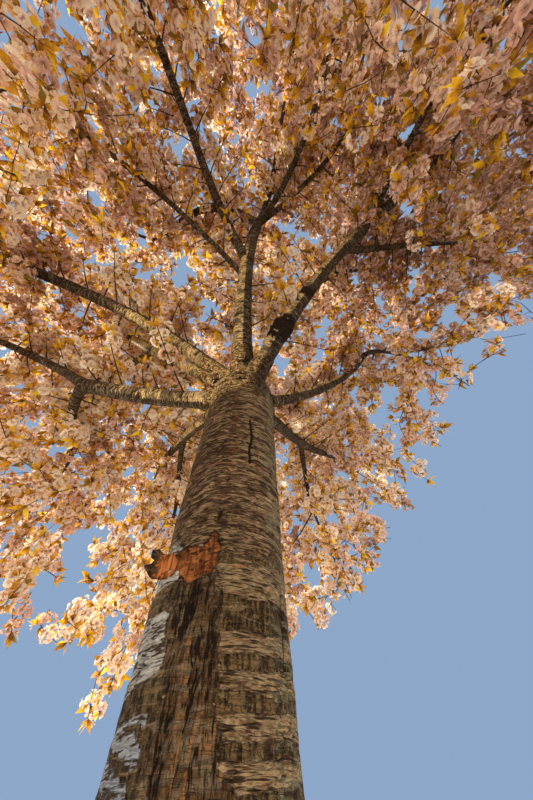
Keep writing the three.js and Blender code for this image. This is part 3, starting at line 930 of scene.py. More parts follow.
def limb_tubes(name, limbs, sides, settings):
    """Relief tubes for limbs, in one mesh, with what their bark's colours go by stored on it."""
    shape = bmesh.new()
    spans = []
    for limb in limbs:
        length = (crown().paths[limb].length - first_distance(limb)) * MM
        first = len(shape.verts)
        add_tube(shape, sides, math.ceil(length / settings.ring_step) - 1)
        spans.append((limb, first, len(shape.verts)))
    mesh = mesh_from(shape, name)
    plain = read_points(mesh)
    parts = [
        grown_limb(limb, plain[first:last], settings.relief, index * PATTERN_STEP)
        for index, (limb, first, last) in enumerate(spans)
    ]
    points, straight, relief, sunny, burnt = (np.concatenate(column) for column in zip(*parts))
    write_points(mesh, points)
    mesh.shade_smooth()
    # Where the bark gets painted sunlight is stored too.
    store(mesh, straight=straight, relief=relief * 0.5 + 0.5, sunny=sunny, burnt=burnt)
    return mesh


def grown_limb(limb, plain, relief_depth, shift):
    """A plain tube's points as a limb, their straightened places, and their relief and colours."""
    path = crown().paths[limb]
    distances = lerp(first_distance(limb), path.length, plain[:, 2] + 0.5)
    shares = distances / path.length
    centres, side, up = tube_frames(path, distances)
    radii = limb_radii(limb, distances)
    straight = np.column_stack([plain[:, :2] * radii[:, None], distances * MM + shift])
    rings = ringed_relief(straight)
    lumps = noise_at(straight, (9, 9, 9), 20)
    size = np.clip(radii / 0.07, 0.3, 1.2)
    out = rings * relief_depth * 0.42 * size + lumps * relief_depth * 0.8 * size
    outward = side * plain[:, :1] + up * plain[:, 1:2]
    # Painted sunlight on the side that faces the low sun, fading towards a bough's end and weak on the
    # limbs.
    fade = 1 - 0.7 * smooth_step(0.45, 0.95, shares) if limb in BOUGHS else 0.2
    sunny = painted_sun_share(outward) * fade
    burnt = np.zeros(len(plain))
    if limb == BURLED_BOUGH:
        swelling = burl_swelling(plain, shares, outward)
        out += BURL_SWELLING * swelling
        ring = np.exp(-((shares - DARK_RING[0]) / DARK_RING[1]) ** 2)
        burnt = np.maximum(np.clip(swelling * 1.6, 0, 1), ring)
    grown = radii + out
    points = (
        centres * MM
        + side * (plain[:, 0] * grown)[:, None]
        + up * (plain[:, 1] * grown)[:, None]
    )
    return points, straight, rings, sunny, burnt


def limb_radii(limb, distances):
    """A limb's radii in metres: wider at its collar, and rounded at its tip."""
    path = crown().paths[limb]
    radii = lerp(*LIMBS[limb].radius, distances / path.length) * MM
    radii *= 1 + (COLLAR_SWELL - 1) * np.clip(1 - distances / crown().collars[limb], 0, 1)
    to_tip = (path.length - distances) * MM / radii
    rounded = 0.55 + 0.45 * np.sqrt(np.clip(to_tip / ROUNDED_TIP, 0, 1))
    return radii * np.where(to_tip < ROUNDED_TIP, rounded, 1)


def painted_sun_share(outward):
    """How much painted sunlight each outward way gets, by how much it faces the low sun."""
    return smooth_step(-0.1, 0.35, outward @ np.array(PAINTED_SUN_WAY))


def burl_swelling(plain, shares, outward):
    """How much of the knobbly black swelling each point of its bough has."""
    place, reach = BURL
    near = np.exp(-((shares - place) / reach) ** 2 * 1.5)
    facing = smooth_step(-0.5, 0.6, outward @ np.array(BURL_WAY))
    knobs = noise_at(np.column_stack([plain[:, :2] * 2.2, shares * 70]), 1.0)
    return near * facing * (1 + 0.9 * knobs)


def tubes(pieces, sides, rings):
    """Thin tapering tubes along twigs, as points and triangles."""
    starts, towards, ends, first_radii, last_radii = (
        np.array(column) * MM for column in zip(*pieces))
    share = np.linspace(0, 1, rings)[None, :, None]
    centres = (
        (1 - share) ** 2 * starts[:, None]
        + 2 * (1 - share) * share * towards[:, None]
        + share ** 2 * ends[:, None]
    )
    along = (1 - share) * (towards - starts)[:, None] + share * (ends - towards)[:, None]
    along = unit(along)
    ways = unit(ends - starts)
    reference = np.where(np.abs(ways[:, 2:]) > STEEP, [[1.0, 0, 0]], [[0, 0, 1.0]])
    side = unit(np.cross(along, reference[:, None]))
    up = np.cross(along, side)
    radii = first_radii[:, None] + (last_radii - first_radii)[:, None] * share[:, :, 0]
    turns = 2 * np.pi * np.arange(sides) / sides
    points = (
        centres[:, :, None]
        + side[:, :, None] * (np.cos(turns)[None, None, :] * radii[:, :, None])[..., None]
        + up[:, :, None] * (np.sin(turns)[None, None, :] * radii[:, :, None])[..., None]
    )
    faces = []
    for ring in range(rings - 1):
        for k in range(sides):
            a, b = ring * sides + k, ring * sides + (k + 1) % sides
            faces += [(a, b, b + sides), (a, b + sides, a + sides)]
    top = (rings - 1) * sides
    for k in range(1, sides - 1):
        faces += [(0, k + 1, k), (top, top + k, top + k + 1)]
    faces = np.array(faces)
    offsets = np.arange(len(pieces)) * rings * sides
    return points.reshape(-1, 3), (faces[None] + offsets[:, None, None]).reshape(-1, 3)


def join_shapes(shapes):
    """Joins (points, triangles) pairs into one."""
    points, faces, offset = [], [], 0
    for own_points, own_faces in shapes:
        points.append(own_points)
        faces.append(own_faces + offset)
        offset += len(own_points)
    return np.concatenate(points), np.concatenate(faces)


# Flowers and leaves


def shape_arrays(shape):
    """The points, triangles and material marks of a small bmesh."""
    bmesh.ops.triangulate(shape, faces=shape.faces[:])
    shape.verts.index_update()
    points = np.array([vert.co[:] for vert in shape.verts])
    faces = np.array([[vert.index for vert in face.verts] for face in shape.faces])
    marks = np.array([face.material_index for face in shape.faces])
    shape.free()
    return points, faces, marks


# The rings of a flower: material mark, number of petals, length, tilt in degrees, and whether
# each petal is a plain triangle. The few flowers close to the camera are fuller.
PLAIN_RINGS = ((0, 5, 1.0, 12, False), (1, 2, 0.8, 54, True))
FULL_RINGS = ((0, 6, 1.0, 4, False), (0, 5, 0.82, 28, False), (1, 5, 0.56, 58, False))
FULL_WITHIN = 2300
CLUSTER_LEAVES = 4
TUFT_LEAVES = 5
PATTERN_SEED = 77


def add_petal(shape, mark, turn, tilt, length, width, cup, plain):
    """One petal: a broad wedge hollow along its middle, or a plain triangle."""
    left = shape.verts.new((0.82 * length, -0.5 * width, cup))
    right = shape.verts.new((0.82 * length, 0.5 * width, cup))
    root = shape.verts.new((0.02, 0, 0))
    verts = [root, left, right]
    if plain:
        shape.faces.new(verts).material_index = mark
    else:
        verts.append(shape.verts.new((0.98 * length, 0, 0.2 * cup)))
        shape.faces.new((root, left, verts[3])).material_index = mark
        shape.faces.new((root, verts[3], right)).material_index = mark
    for angle, axis in ((-tilt, "Y"), (turn, "Z")):
        matrix = Matrix.Rotation(angle, 3, axis)
        bmesh.ops.rotate(shape, verts=verts, cent=(0, 0, 0), matrix=matrix)


def flower_shape(draw, rings):
    """A double flower of radius one that faces +Z."""
    shape = bmesh.new()
    for mark, count, length, tilt, plain in rings:
        start = draw()
        for index in range(count):
            turn = 2 * math.pi * (index + start + 0.3 * draw()) / count
            lean = math.radians(tilt + 34 * (draw() - 0.5))
            size = length * lerp(0.84, 1.08, draw())
            width = size * lerp(0.95, 1.2, draw())
            add_petal(shape, mark, turn, lean, size, width, 0.26 * draw(), plain)
    return shape_arrays(shape)


def leaf_shape(width, arch):
    """A pointed leaf of length one along +X, folded along its rib."""
    shape = bmesh.new()
    root = shape.verts.new((0, 0, 0))
    left = shape.verts.new((0.42, -0.5 * width, arch))
    rib = shape.verts.new((0.5, 0, arch * 0.4))
    right = shape.verts.new((0.42, 0.5 * width, arch))
    tip = shape.verts.new((1, 0, -arch))
    for corners in ((root, left, rib), (root, rib, right), (left, tip, rib), (rib, tip, right)):
        shape.faces.new(corners)
    return shape_arrays(shape)


def turned_to(direction, spin):
    """The rotation that takes +Z to a direction, after a spin round +Z in radians."""
    turned = Vector(direction).to_track_quat("Z", "Y").to_matrix()
    return np.array(turned @ Matrix.Rotation(spin, 3, "Z"))


def opened(open_angle, turn):
    """The way that leaves +Z by an angle, turned round +Z, both in radians."""
    level = math.sin(open_angle)
    return np.array([level * math.cos(turn), level * math.sin(turn), math.cos(open_angle)])


def along_z(shape):
    """A leaf turned to lie along +Z."""
    return shape[0] @ np.array(Matrix.Rotation(math.radians(90), 3, "Y")), shape[1]


class Kind:
    """One pattern of a cluster or tuft: its petals, stalks and leaves, each with their marks."""

    def __init__(self):
        self.shapes = {"petals": [], "stalks": [], "leaves": []}

    def add(self, part, shape, rotation, scale, place, marks):
        """Adds a turned copy of a shape. Each of its points keeps its share of the way from root to tip."""
        points, faces = shape[:2]
        outward = np.minimum(np.linalg.norm(points, axis=1), 1)
        moved = points @ rotation.T * scale + place
        self.shapes[part].append((moved, faces, np.zeros(len(faces), int) + marks, outward))

    def close(self):
        """Joins the shapes of each part into one."""
        for part, shapes in self.shapes.items():
            if shapes:
                points, faces = join_shapes([shape[:2] for shape in shapes])
                marks, outward = (np.concatenate([shape[k] for shape in shapes]) for k in (2, 3))
                self.shapes[part] = (points, faces, marks, outward)
        return self


STALK_SHAPE = (
    np.array([[0.036, 0, 1], [-0.018, 0.031, 1], [-0.018, -0.031, 1], [0, 0, 0]]),
    np.array([[0, 1, 3], [1, 2, 3], [2, 0, 3]]),
)


def cluster_kind(draw, settings, rings):
    """Six to eight double flowers that hang from one spur, with young leaves among them."""
    kind = Kind()
    count = 6 + int(3 * draw())
    for index in range(count):
        turn = 2 * math.pi * (index + 0.5 * draw()) / count
        open_angle = math.radians(lerp(36, 108, draw())) if index else math.radians(8)
        way = opened(open_angle, turn)
        length = settings.stalk * lerp(0.7, 1.2, draw())
        centre = way * length
        flower = flower_shape(draw, rings)
        loose = loose_way(draw) * 0.7
        radius = settings.flower / 2 * lerp(0.85, 1.12, draw())
        rotation = turned_to(unit(way + loose), 2 * math.pi * draw())
        kind.add("petals", flower, rotation, radius, centre, flower[2])
        if index % 3 == 0:
            kind.add("stalks", STALK_SHAPE, turned_to(way, 0), length, 0, 0)
    for index in range(CLUSTER_LEAVES):
        turn = 2 * math.pi * (index + 0.6 * draw()) / CLUSTER_LEAVES
        way = opened(math.radians(lerp(40, 115, draw())), turn)
        leaf = along_z(leaf_shape(lerp(0.42, 0.56, draw()), lerp(-0.1, 0.12, draw())))
        length = settings.leaf * lerp(0.7, 1.15, draw())
        rotation = turned_to(way, 2 * math.pi * draw())
        kind.add("leaves", leaf, rotation, length, way * 0.016, index)
    return kind.close()


def tuft_kind(draw, settings):
    """Young leaves spread round the tip of a shoot."""
    kind = Kind()
    for index in range(TUFT_LEAVES):
        turn = 2 * math.pi * (index + 0.5 * draw()) / TUFT_LEAVES
        way = opened(math.radians(lerp(15, 70, draw())), turn)
        leaf = along_z(leaf_shape(lerp(0.32, 0.44, draw()), lerp(-0.12, 0.12, draw())))
        length = settings.leaf * lerp(0.85, 1.25, draw())
        rotation = turned_to(way, 2 * math.pi * draw())
        kind.add("leaves", leaf, rotation, length, way * -0.004, index)
    return kind.close()


@lru_cache(maxsize=None)
def kinds():
    """The patterns that every cluster and tuft is a copy of."""
    settings = bpy.context.scene.cherry_blossom
    draw = seeded(PATTERN_SEED)
    return (
        [cluster_kind(draw, settings, PLAIN_RINGS) for _ in range(20)],
        [cluster_kind(draw, settings, FULL_RINGS) for _ in range(8)],
        [tuft_kind(draw, settings) for _ in range(8)],
    )


@lru_cache(maxsize=None)
def sprays():
    """Every cluster and tuft with its mass, place, rotation, size, pattern and tint."""
    clusters, full_clusters, tufts = kinds()
    camera_place = np.array(CAMERA_PLACE) / MM
    found = []
    for cluster in crown().clusters:
        near = np.linalg.norm(cluster.place - camera_place) < FULL_WITHIN
        found.append(placed_spray(cluster, full_clusters if near else clusters, False))
    found.extend(placed_spray(tip, tufts, True) for tip in crown().tips)
    return found


def placed_spray(entry, patterns, is_tuft):
    """A cluster or tuft as a spray, with its pattern, turn and size settled by its chance."""
    kind = patterns[int(entry.chance * 7919) % len(patterns)]
    rotation = turned_to(entry.facing, 2 * math.pi * spread_again(entry.chance, 613))
    size = lerp(0.88, 1.14, spread_again(entry.chance, 389))
    tint = tint_at(entry.place, entry.chance)
    return Spray(entry.mass, entry.place * MM, rotation, size, kind, tint, is_tuft)


def tint_at(place, chance):
    """Which tint a spray has: darker and pinker at the sides and to the right of the camera, which is
    painted shade, and changing by patch and by spray.
    """
    drift = noise.noise((place * TINT_PATCHES).tolist()) * 1.2
    drift += (spread_again(chance, 97) - 0.5) * 1.5
    # Painted shade: sprays far out to the sides and to the right get darker tints.
    outer = abs(place[0]) + 1.3 * max(0, place[0] - place[1])
    return int(np.clip(MIDDLE_TINT + drift * TINT_SPREAD + outer * PAINTED_OUTER_SHADE, 0, 4))


# Each row is a tint, and tells which material each mark has: the outer and inner rings of the
# petals, and the leaves in turn.
TINT_ROWS = {
    "petals": np.array(((0, 0), (1, 0), (2, 0), (3, 1), (4, 2))),
    "leaves": np.array((
        (0, 3, 0, 1, 0), (3, 0, 1, 0, 3), (0, 1, 3, 2, 0), (1, 0, 2, 0, 1), (2, 1, 0, 1, 3))),
    "stalks": np.zeros((5, 1), int),
}


def spray_mesh(name, chosen, part):
    """One mesh of a part of some sprays, with each point's share of the way from root to tip."""
    points, faces, tints, shares, offset = [], [], [], [], 0
    for spray in chosen:
        if len(spray.kind.shapes[part]):
            own_points, own_faces, marks, outward = spray.kind.shapes[part]
            points.append(own_points @ spray.rotation.T * spray.size + spray.place)
            faces.append(own_faces + offset)
            offset += len(own_points)
            tints.append(TINT_ROWS[part][spray.tint][marks])
            shares.append(outward)
    mesh = mesh_of(name, *(np.concatenate(column) for column in (points, faces, tints)))
    store(mesh, outward=np.concatenate(shares))
    return mesh


# Trunk


def trunk_shape():
    """The trunk with its root ridges and collars, as overlapping closed shells."""
    shape = bmesh.new()
    profile = [(0, -80), (FOOT_RADIUS, -80), (FOOT_RADIUS, 0)]
    for share in (0.12, 0.3, 0.55, 0.8, 1):
        swell = (FOOT_RADIUS - TRUNK_RADIUS) * (1 - share) ** 2
        profile.append((TRUNK_RADIUS + swell, share * FLARE_HEIGHT))
    for share in np.linspace(0.1, 1, 10):
        swell = (FORK_RADIUS - TRUNK_RADIUS) * share ** 2
        profile.append((TRUNK_RADIUS + swell, lerp(FLARE_HEIGHT, FORK_HEIGHT, share)))
    for turn in range(15, 90, 15):
        across = FORK_RADIUS * math.cos(math.radians(turn))
        height = lerp(FORK_HEIGHT, CROTCH_HEIGHT, math.sin(math.radians(turn)))
        profile.append((across, height))
    profile.append((0, CROTCH_HEIGHT))
    verts = [shape.verts.new((radius * MM, 0, height * MM)) for radius, height in profile]
    edges = [shape.edges.new(pair) for pair in zip(verts[:-1], verts[1:])]
    bmesh.ops.spin(
        shape, geom=verts + edges, cent=(0, 0, 0), axis=(0, 0, 1), angle=2 * math.pi, steps=60,
        use_merge=True)
    bmesh.ops.remove_doubles(shape, verts=shape.verts[:], dist=0.0001)
    bmesh.ops.recalc_face_normals(shape, faces=shape.faces[:])
    for vert in shape.verts:
        x, y, z = vert.co
        fade = max(0, 1 - max(z, 0) / (FLARE_HEIGHT * MM)) ** 2
        ridge = 0.5 + 0.5 * math.cos(ROOT_RIDGES * math.atan2(y, x))
        grown = 1 + ROOT_RIDGE_REACH * fade * ridge / FOOT_RADIUS
        vert.co = (x * grown + TRUNK_LEAN * z, y * grown, z)
    for name in BOUGHS:
        add_collar(shape, name)
    return shape


def add_collar(shape, name):
    """A bough's collar: a tapering tube from the trunk's middle to the collar's end."""
    collar = bmesh.new()
    add_tube(collar, 24, 7)
    mesh = mesh_from(collar, "collar")
    path, length = crown().paths[name], crown().collars[name]
    plain = read_points(mesh)
    distances = (plain[:, 2] + 0.5) * length
    centres, side, up = tube_frames(path, distances)
    radii = collar_radii(name, distances)
    points = centres + side * (plain[:, 0] * radii)[:, None] + up * (plain[:, 1] * radii)[:, None]
    write_points(mesh, points * MM)
    shape.from_mesh(mesh)
    bpy.data.meshes.remove(mesh)


def collar_radii(name, distances):
    """A collar's radii at distances along its bough."""
    path, length = crown().paths[name], crown().collars[name]
    swell = lerp(COLLAR_SWELL, 1, distances / length)
    return lerp(*LIMBS[name].radius, distances / path.length) * swell


def remeshed(shape, name, grain):
    """One closed skin round overlapping shells, its joins rounded by smoothing."""
    carrier = put_in_scene(name, mesh_from(shape, name))
    skin = carrier.modifiers.new("skin", "REMESH")
    skin.mode = "VOXEL"
    skin.voxel_size = grain
    ease = carrier.modifiers.new("ease", "SMOOTH")
    ease.factor = 0.5
    ease.iterations = 10
    graph = bpy.context.evaluated_depsgraph_get()
    mesh = bpy.data.meshes.new_from_object(carrier.evaluated_get(graph))
    bpy.data.objects.remove(carrier)
    return mesh


def inside_outline(outline, across, up, soft):
    """A mask of what lies in an outline, soft at its edge, by the distance to its sides."""
    inside = np.zeros(len(across), bool)
    nearest = np.full(len(across), 1e9)
    for (x0, y0), (x1, y1) in zip(outline, outline[1:] + outline[:1]):
        crosses = (y0 > up) != (y1 > up)
        with np.errstate(divide="ignore", invalid="ignore"):
            inside ^= crosses & (across < (x1 - x0) * (up - y0) / (y1 - y0 + 1e-12) + x0)
        way = np.array([x1 - x0, y1 - y0])
        share = np.clip(((across - x0) * way[0] + (up - y0) * way[1]) / (way @ way), 0, 1)
        nearest = np.minimum(nearest, np.hypot(across - x0 - way[0] * share, up - y0 - way[1] * share))
    signed = np.where(inside, nearest, -nearest)
    return smooth_step(-soft, soft, signed)


def trunk_masks(points):
    """Where each kind of bark is on the trunk, from 0 to 1, and the height and arc of each point."""
    height = points[:, 2] / MM
    angle = np.degrees(np.arctan2(points[:, 1], points[:, 0] - TRUNK_LEAN * points[:, 2]))
    waver = noise_at(points, (9, 9, 12), 3)
    frayed = noise_at(points, (34, 34, 40), 13)
    arc = angle * math.pi / 180 * TRUNK_RADIUS
    furrowed = furrowed_strip(angle, height, waver, frayed)
    outline = [(math.radians(turn) * TRUNK_RADIUS, up) for turn, up in PEELED_PATCH]
    ragged = waver * 6 + frayed * 9
    peeled = inside_outline(outline, arc + ragged, height + ragged, 7.0)
    wavy = height + waver * 9 + 5 * np.sin(arc / 60)
    banded = pale_bands(angle, wavy, waver)
    silvery = silvery_plates(angle, height, arc, wavy, waver)
    rugged = smooth_step(960, 860, height + waver * 40) * (1 - banded) * (1 - silvery)
    lichen = smooth_step(-58, -38, angle + waver * 14) * smooth_step(90, 20, angle)
    wrinkled = smooth_step(960, 1120, height + waver * 60)
    rusty = smooth_step(9, 3, np.abs(angle - RUSTY_STREAK + waver * 14)) * wrinkled
    clear = (1 - furrowed) * (1 - peeled)
    masks = {
        "banded": banded, "silvery": silvery, "rugged": rugged, "lichen": lichen,
        "wrinkled": wrinkled, "rusty": rusty,
    }
    masks = {name: mask * clear for name, mask in masks.items()}
    masks["furrowed"] = furrowed * (1 - peeled)
    masks["peeled"] = peeled
    masks["crack"] = trunk_cracks(angle, height, arc, waver)
    return masks, height, arc, waver


def furrowed_strip(angle, height, waver, frayed):
    """The strip of deep furrows up the front of the trunk."""
    heights, lefts, rights = zip(*FURROWED_STRIP)
    left, right = np.interp(height, heights, lefts), np.interp(height, heights, rights)
    inside = np.minimum(angle - left, right - angle) + waver * 6 + frayed * 5
    return smooth_step(-4, 4, inside) * smooth_step(-15, 25, heights[-1] - height + waver * 20)


def pale_bands(angle, wavy, waver):
    """The smooth pale bands round the trunk, which fade out on its left."""
    banded = np.zeros(len(angle))
    for middle, half in PALE_BANDS:
        banded = np.maximum(banded, smooth_step(-5, 4, half - np.abs(wavy - middle)))
    first, last, step = UPPER_BANDS
    middle, number = first, 0
    while middle < last:
        half = 8 + 3 * math.sin(number) + (middle - first) * 0.006
        banded = np.maximum(banded, 0.75 * smooth_step(-5, 4, half - np.abs(wavy - middle)))
        middle += step + 14 * math.sin(number * 2.3) + (middle - first) * 0.03
        number += 1
    front = smooth_step(-106, -84, angle + waver * 12) * smooth_step(20, -30, angle)
    back = 0.75 * (angle > 15) * smooth_step(15, 40, angle)
    return banded * np.clip(front + back, 0, 1)


def silvery_plates(angle, height, arc, wavy, waver):
    """The silvery plates on the trunk's left, with two wide brown bands and slanting brown rows."""
    left_side = smooth_step(-122, -133, angle + waver * 6) * smooth_step(380, 430, height)
    silvery = left_side * smooth_step(1010, 930, height + waver * 30)
    brown = [smooth_step(-6, 6, half - np.abs(wavy - middle)) for middle, half in BROWN_BANDS]
    rows = np.sin(2 * math.pi * (wavy + 0.35 * arc) / BROWN_ROW_STEP)
    brown.append(smooth_step(0.3, 0.7, rows) * (height < HIGHEST_BROWN_ROW))
    return silvery * (1 - np.maximum.reduce(brown))


def trunk_cracks(angle, height, arc, waver):
    """The trunk's few long cracks, its knot hole and its eye scar, from 0 to 1."""
    cracks = np.zeros(len(angle))
    for (turn, low, high), width in ((RIGHT_FISSURE, 2.2), (TRUNK_GROOVE, 2.4), (PATCH_NOTCH, 2.6)):
        line = np.exp(-((angle - turn + waver * 5) / width) ** 2)
        line *= smooth_step(low - 20, low + 30, height) * smooth_step(high + 20, high - 30, height)
        cracks = np.maximum(cracks, line)
    for turn, up, size in (EYE_SCAR, SMALL_HOLE):
        gap = np.hypot(arc - math.radians(turn) * TRUNK_RADIUS, height - up)
        cracks = np.maximum(cracks, np.exp(-(gap / (size * 0.7)) ** 2))
    return cracks


def unrolled(points):
    """The straightened place of every point, along its bough on a collar, and which are on none."""
    level = np.hypot(points[:, 0] - TRUNK_LEAN * points[:, 2], points[:, 1]) / MM
    height = points[:, 2] / MM
    share = np.clip((height - FLARE_HEIGHT) / (FORK_HEIGHT - FLARE_HEIGHT), 0, 1)
    radius = TRUNK_RADIUS + (FORK_RADIUS - TRUNK_RADIUS) * share ** 2
    above = np.clip((height - FORK_HEIGHT) / (CROTCH_HEIGHT - FORK_HEIGHT), 0, 3)
    best = (np.sqrt((level / radius) ** 2 + above ** 2) - 1) * radius
    straight = points.copy()
    straight[:, 0] -= TRUNK_LEAN * points[:, 2]
    on_trunk = np.full(len(points), True)
    high = height > LOWEST_COLLAR
    near = points[high] / MM
    for index, name in enumerate(BOUGHS):
        distances = np.linspace(0, crown().collars[name], 40)
        centres, side, up = tube_frames(crown().paths[name], distances)
        gaps = np.linalg.norm(near[:, None] - centres[None], axis=2)
        nearest = np.argmin(gaps, axis=1)
        gap = gaps[np.arange(len(near)), nearest] - collar_radii(name, distances)[nearest]
        away = near - centres[nearest]
        own = np.column_stack([
            np.sum(away * side[nearest], axis=1),
            np.sum(away * up[nearest], axis=1),
            distances[nearest] + PATTERN_STEP / MM * index,
        ]) * MM
        closer = gap < best[high] - COLLAR_LEAD
        rows = np.flatnonzero(high)[closer]
        best[rows] = gap[closer]
        on_trunk[rows] = False
        straight[rows] = own[closer]
    return straight, on_trunk


def trunk_relief(points, masks, height, arc, straight, on_trunk):
    """How far the trunk's bark stands out at each point, and how raised it looks, in shares."""
    plates = 1 - 2 * np.abs(noise_at(straight, (5.5, 5.5, 28), 9))
    fine = 1 - 2 * np.abs(noise_at(straight, (12, 12, 62), 30))
    knuckles = 1 - 3 * np.abs(noise_at(points, (11, 11, 17), 44))
    lumps = noise_at(points, (7, 7, 6), 60)
    vertical = 1 - 2 * np.abs(noise_at(straight, (24, 24, 6.5), 15))
    furrows = 1 - 2 * np.abs(noise_at(straight, (30, 30, 5), 80))
    rough = 0.45 * plates + 0.35 * fine + 0.4 * vertical * (1 - masks["banded"])
    out = rough * (1 - masks["banded"] * 0.7) + 0.8 * masks["banded"] + lumps * 0.9
    out = out * (1 - masks["furrowed"]) + (1.6 * furrows - 0.3 + 0.4 * plates) * masks["furrowed"]
    out = out * (1 - masks["silvery"] * 0.5) + masks["silvery"] * 0.4 * plates
    out = out * (1 - masks["peeled"]) - (1.5 - 0.25 * furrows) * masks["peeled"]
    out -= 2.0 * masks["crack"]
    turn, up, size = EYE_SCAR
    gap = np.hypot(arc - math.radians(turn) * TRUNK_RADIUS, height - up)
    out += 1.3 * np.exp(-((gap - size) / 5) ** 2)
    rings = ringed_relief(straight)
    forked = smooth_step(1900, 2080, height) * smooth_step(2640, 2440, height)
    relief = np.where(on_trunk, out * 0.5, rings) * (1 - forked) + knuckles * forked
    out = np.where(on_trunk, out, rings * 0.6 + 0.7 * lumps)
    return out * (1 - forked * 0.6) + 1.5 * knuckles * forked, relief


def trunk_bark_mesh(settings):
    """The trunk and its collars with the relief of their bark, cut flat at the ground."""
    mesh = remeshed(trunk_shape(), "trunk_bark", settings.grain)
    points = read_points(mesh)
    normals = np.empty(len(points) * 3, np.float32)
    mesh.vertex_normals.foreach_get("vector", normals)
    normals = normals.reshape(-1, 3)
    masks, height, arc, waver = trunk_masks(points)
    straight, on_trunk = unrolled(points)
    masks = {name: mask * on_trunk for name, mask in masks.items()}
    out, relief = trunk_relief(points, masks, height, arc, straight, on_trunk)
    write_points(mesh, points + normals * (out * settings.relief)[:, None])
    relief = np.clip(relief * 0.5 + 0.5, 0, 1)
    knuckled = smooth_step(1840, 2040, height + waver * 110)
    # Painted sunlight on the side that faces the low sun, for the curled rings at the fork.
    sunny = painted_sun_share(normals)
    store(mesh, straight=straight, relief=relief, knuckled=knuckled, sunny=sunny, **masks)
    shape = bmesh.new()
    shape.from_mesh(mesh)
    cut = bmesh.ops.bisect_plane(
        shape, geom=shape.verts[:] + shape.edges[:] + shape.faces[:], plane_co=(0, 0, 0),
        plane_no=(0, 0, -1), clear_outer=True)
    rim = [item for item in cut["geom_cut"] if isinstance(item, bmesh.types.BMEdge)]
    bmesh.ops.edgenet_fill(shape, edges=rim)
    shape.to_mesh(mesh)
    shape.free()
    mesh.shade_smooth()
    return mesh


def flap_mesh():
    """A torn flap of bark that stands out beside the peeled patch and curls at its end."""
    turn, low, high = BARK_FLAP
    bearing = math.radians(turn)
    radial = np.array([math.cos(bearing), math.sin(bearing), 0])
    aside = np.array([math.sin(bearing), -math.cos(bearing), 0])
    out = unit(radial * 0.8 + aside * 0.45)
    forward = np.array([-out[1], out[0], 0])
    shape = bmesh.new()
    bmesh.ops.create_grid(shape, x_segments=16, y_segments=10, size=0.5)
    for vert in shape.verts:
        across, up = vert.co.x + 0.5, vert.co.y + 0.5
        torn = 0.86 + 0.14 * math.sin(9 * up + 1) + 0.07 * math.sin(23 * up)
        height = lerp(low, high, 0.5 + (up - 0.5) * (1 - 0.3 * across)) + 5 * math.sin(7 * across)
        bulge = 6 * math.sin(math.pi * up) + 3 * math.sin(14 * across + 5 * up)
        point = trunk_axis(height) + radial * (TRUNK_RADIUS - 8) + out * FLAP_REACH * across * torn
        vert.co = (point + forward * (FLAP_CURL * across ** 3 - 14 * across + bulge)) * MM
    bmesh.ops.solidify(shape, geom=shape.faces[:], thickness=0.005)
    bmesh.ops.recalc_face_normals(shape, faces=shape.faces[:])
    # The rim's faces come in another order on each run, so the faces are sorted by place.
    shape.faces.sort(key=lambda face: face.calc_center_median().dot((1, 10, 100)))
    mesh = mesh_from(shape, "bark_flap")
    mesh.shade_smooth()
    root = (trunk_axis((low + high) / 2) + radial * TRUNK_RADIUS) * MM
    store(mesh, outward=(read_points(mesh) - root) @ out / (FLAP_REACH * MM))
    return mesh


# Materials


class Wire:
    """A number socket of a material, on which plain sums can be written."""

    def __init__(self, tree, socket):
        self.tree = tree
        self.socket = socket

    def worked(self, operation, first, second=0.0):
        made = self.tree.nodes.new("ShaderNodeMath")
        made.operation = operation
        for value, socket in zip((first, second), made.inputs):
            attach(self.tree, value, socket)
        return Wire(self.tree, made.outputs[0])

    def __add__(self, other):
        return self.worked("ADD", self, other)

    def __sub__(self, other):
        return self.worked("SUBTRACT", self, other)

    def __rsub__(self, other):
        return self.worked("SUBTRACT", other, self)

    def __mul__(self, other):
        return self.worked("MULTIPLY", self, other)

    def __abs__(self):
        return self.worked("ABSOLUTE", self)

    __radd__ = __add__
    __rmul__ = __mul__

    def sharpened(self, low, high):
        """0 below low and 1 above high, or the other way round if high is the lower."""
        made = self.tree.nodes.new("ShaderNodeMapRange")
        made.interpolation_type = "SMOOTHSTEP"
        values = (self, low, high, 0.0, 1.0) if low < high else (self, high, low, 1.0, 0.0)
        for value, name in zip(values, ("Value", "From Min", "From Max", "To Min", "To Max")):
            attach(self.tree, value, made.inputs[name])
        return Wire(self.tree, made.outputs["Result"])


def attach(tree, value, socket):
    """Gives a socket a value, or links another socket to it."""
    if isinstance(value, Wire):
        tree.links.new(value.socket, socket)
    elif isinstance(value, bpy.types.NodeSocket):
        tree.links.new(value, socket)
    else:
        socket.default_value = value


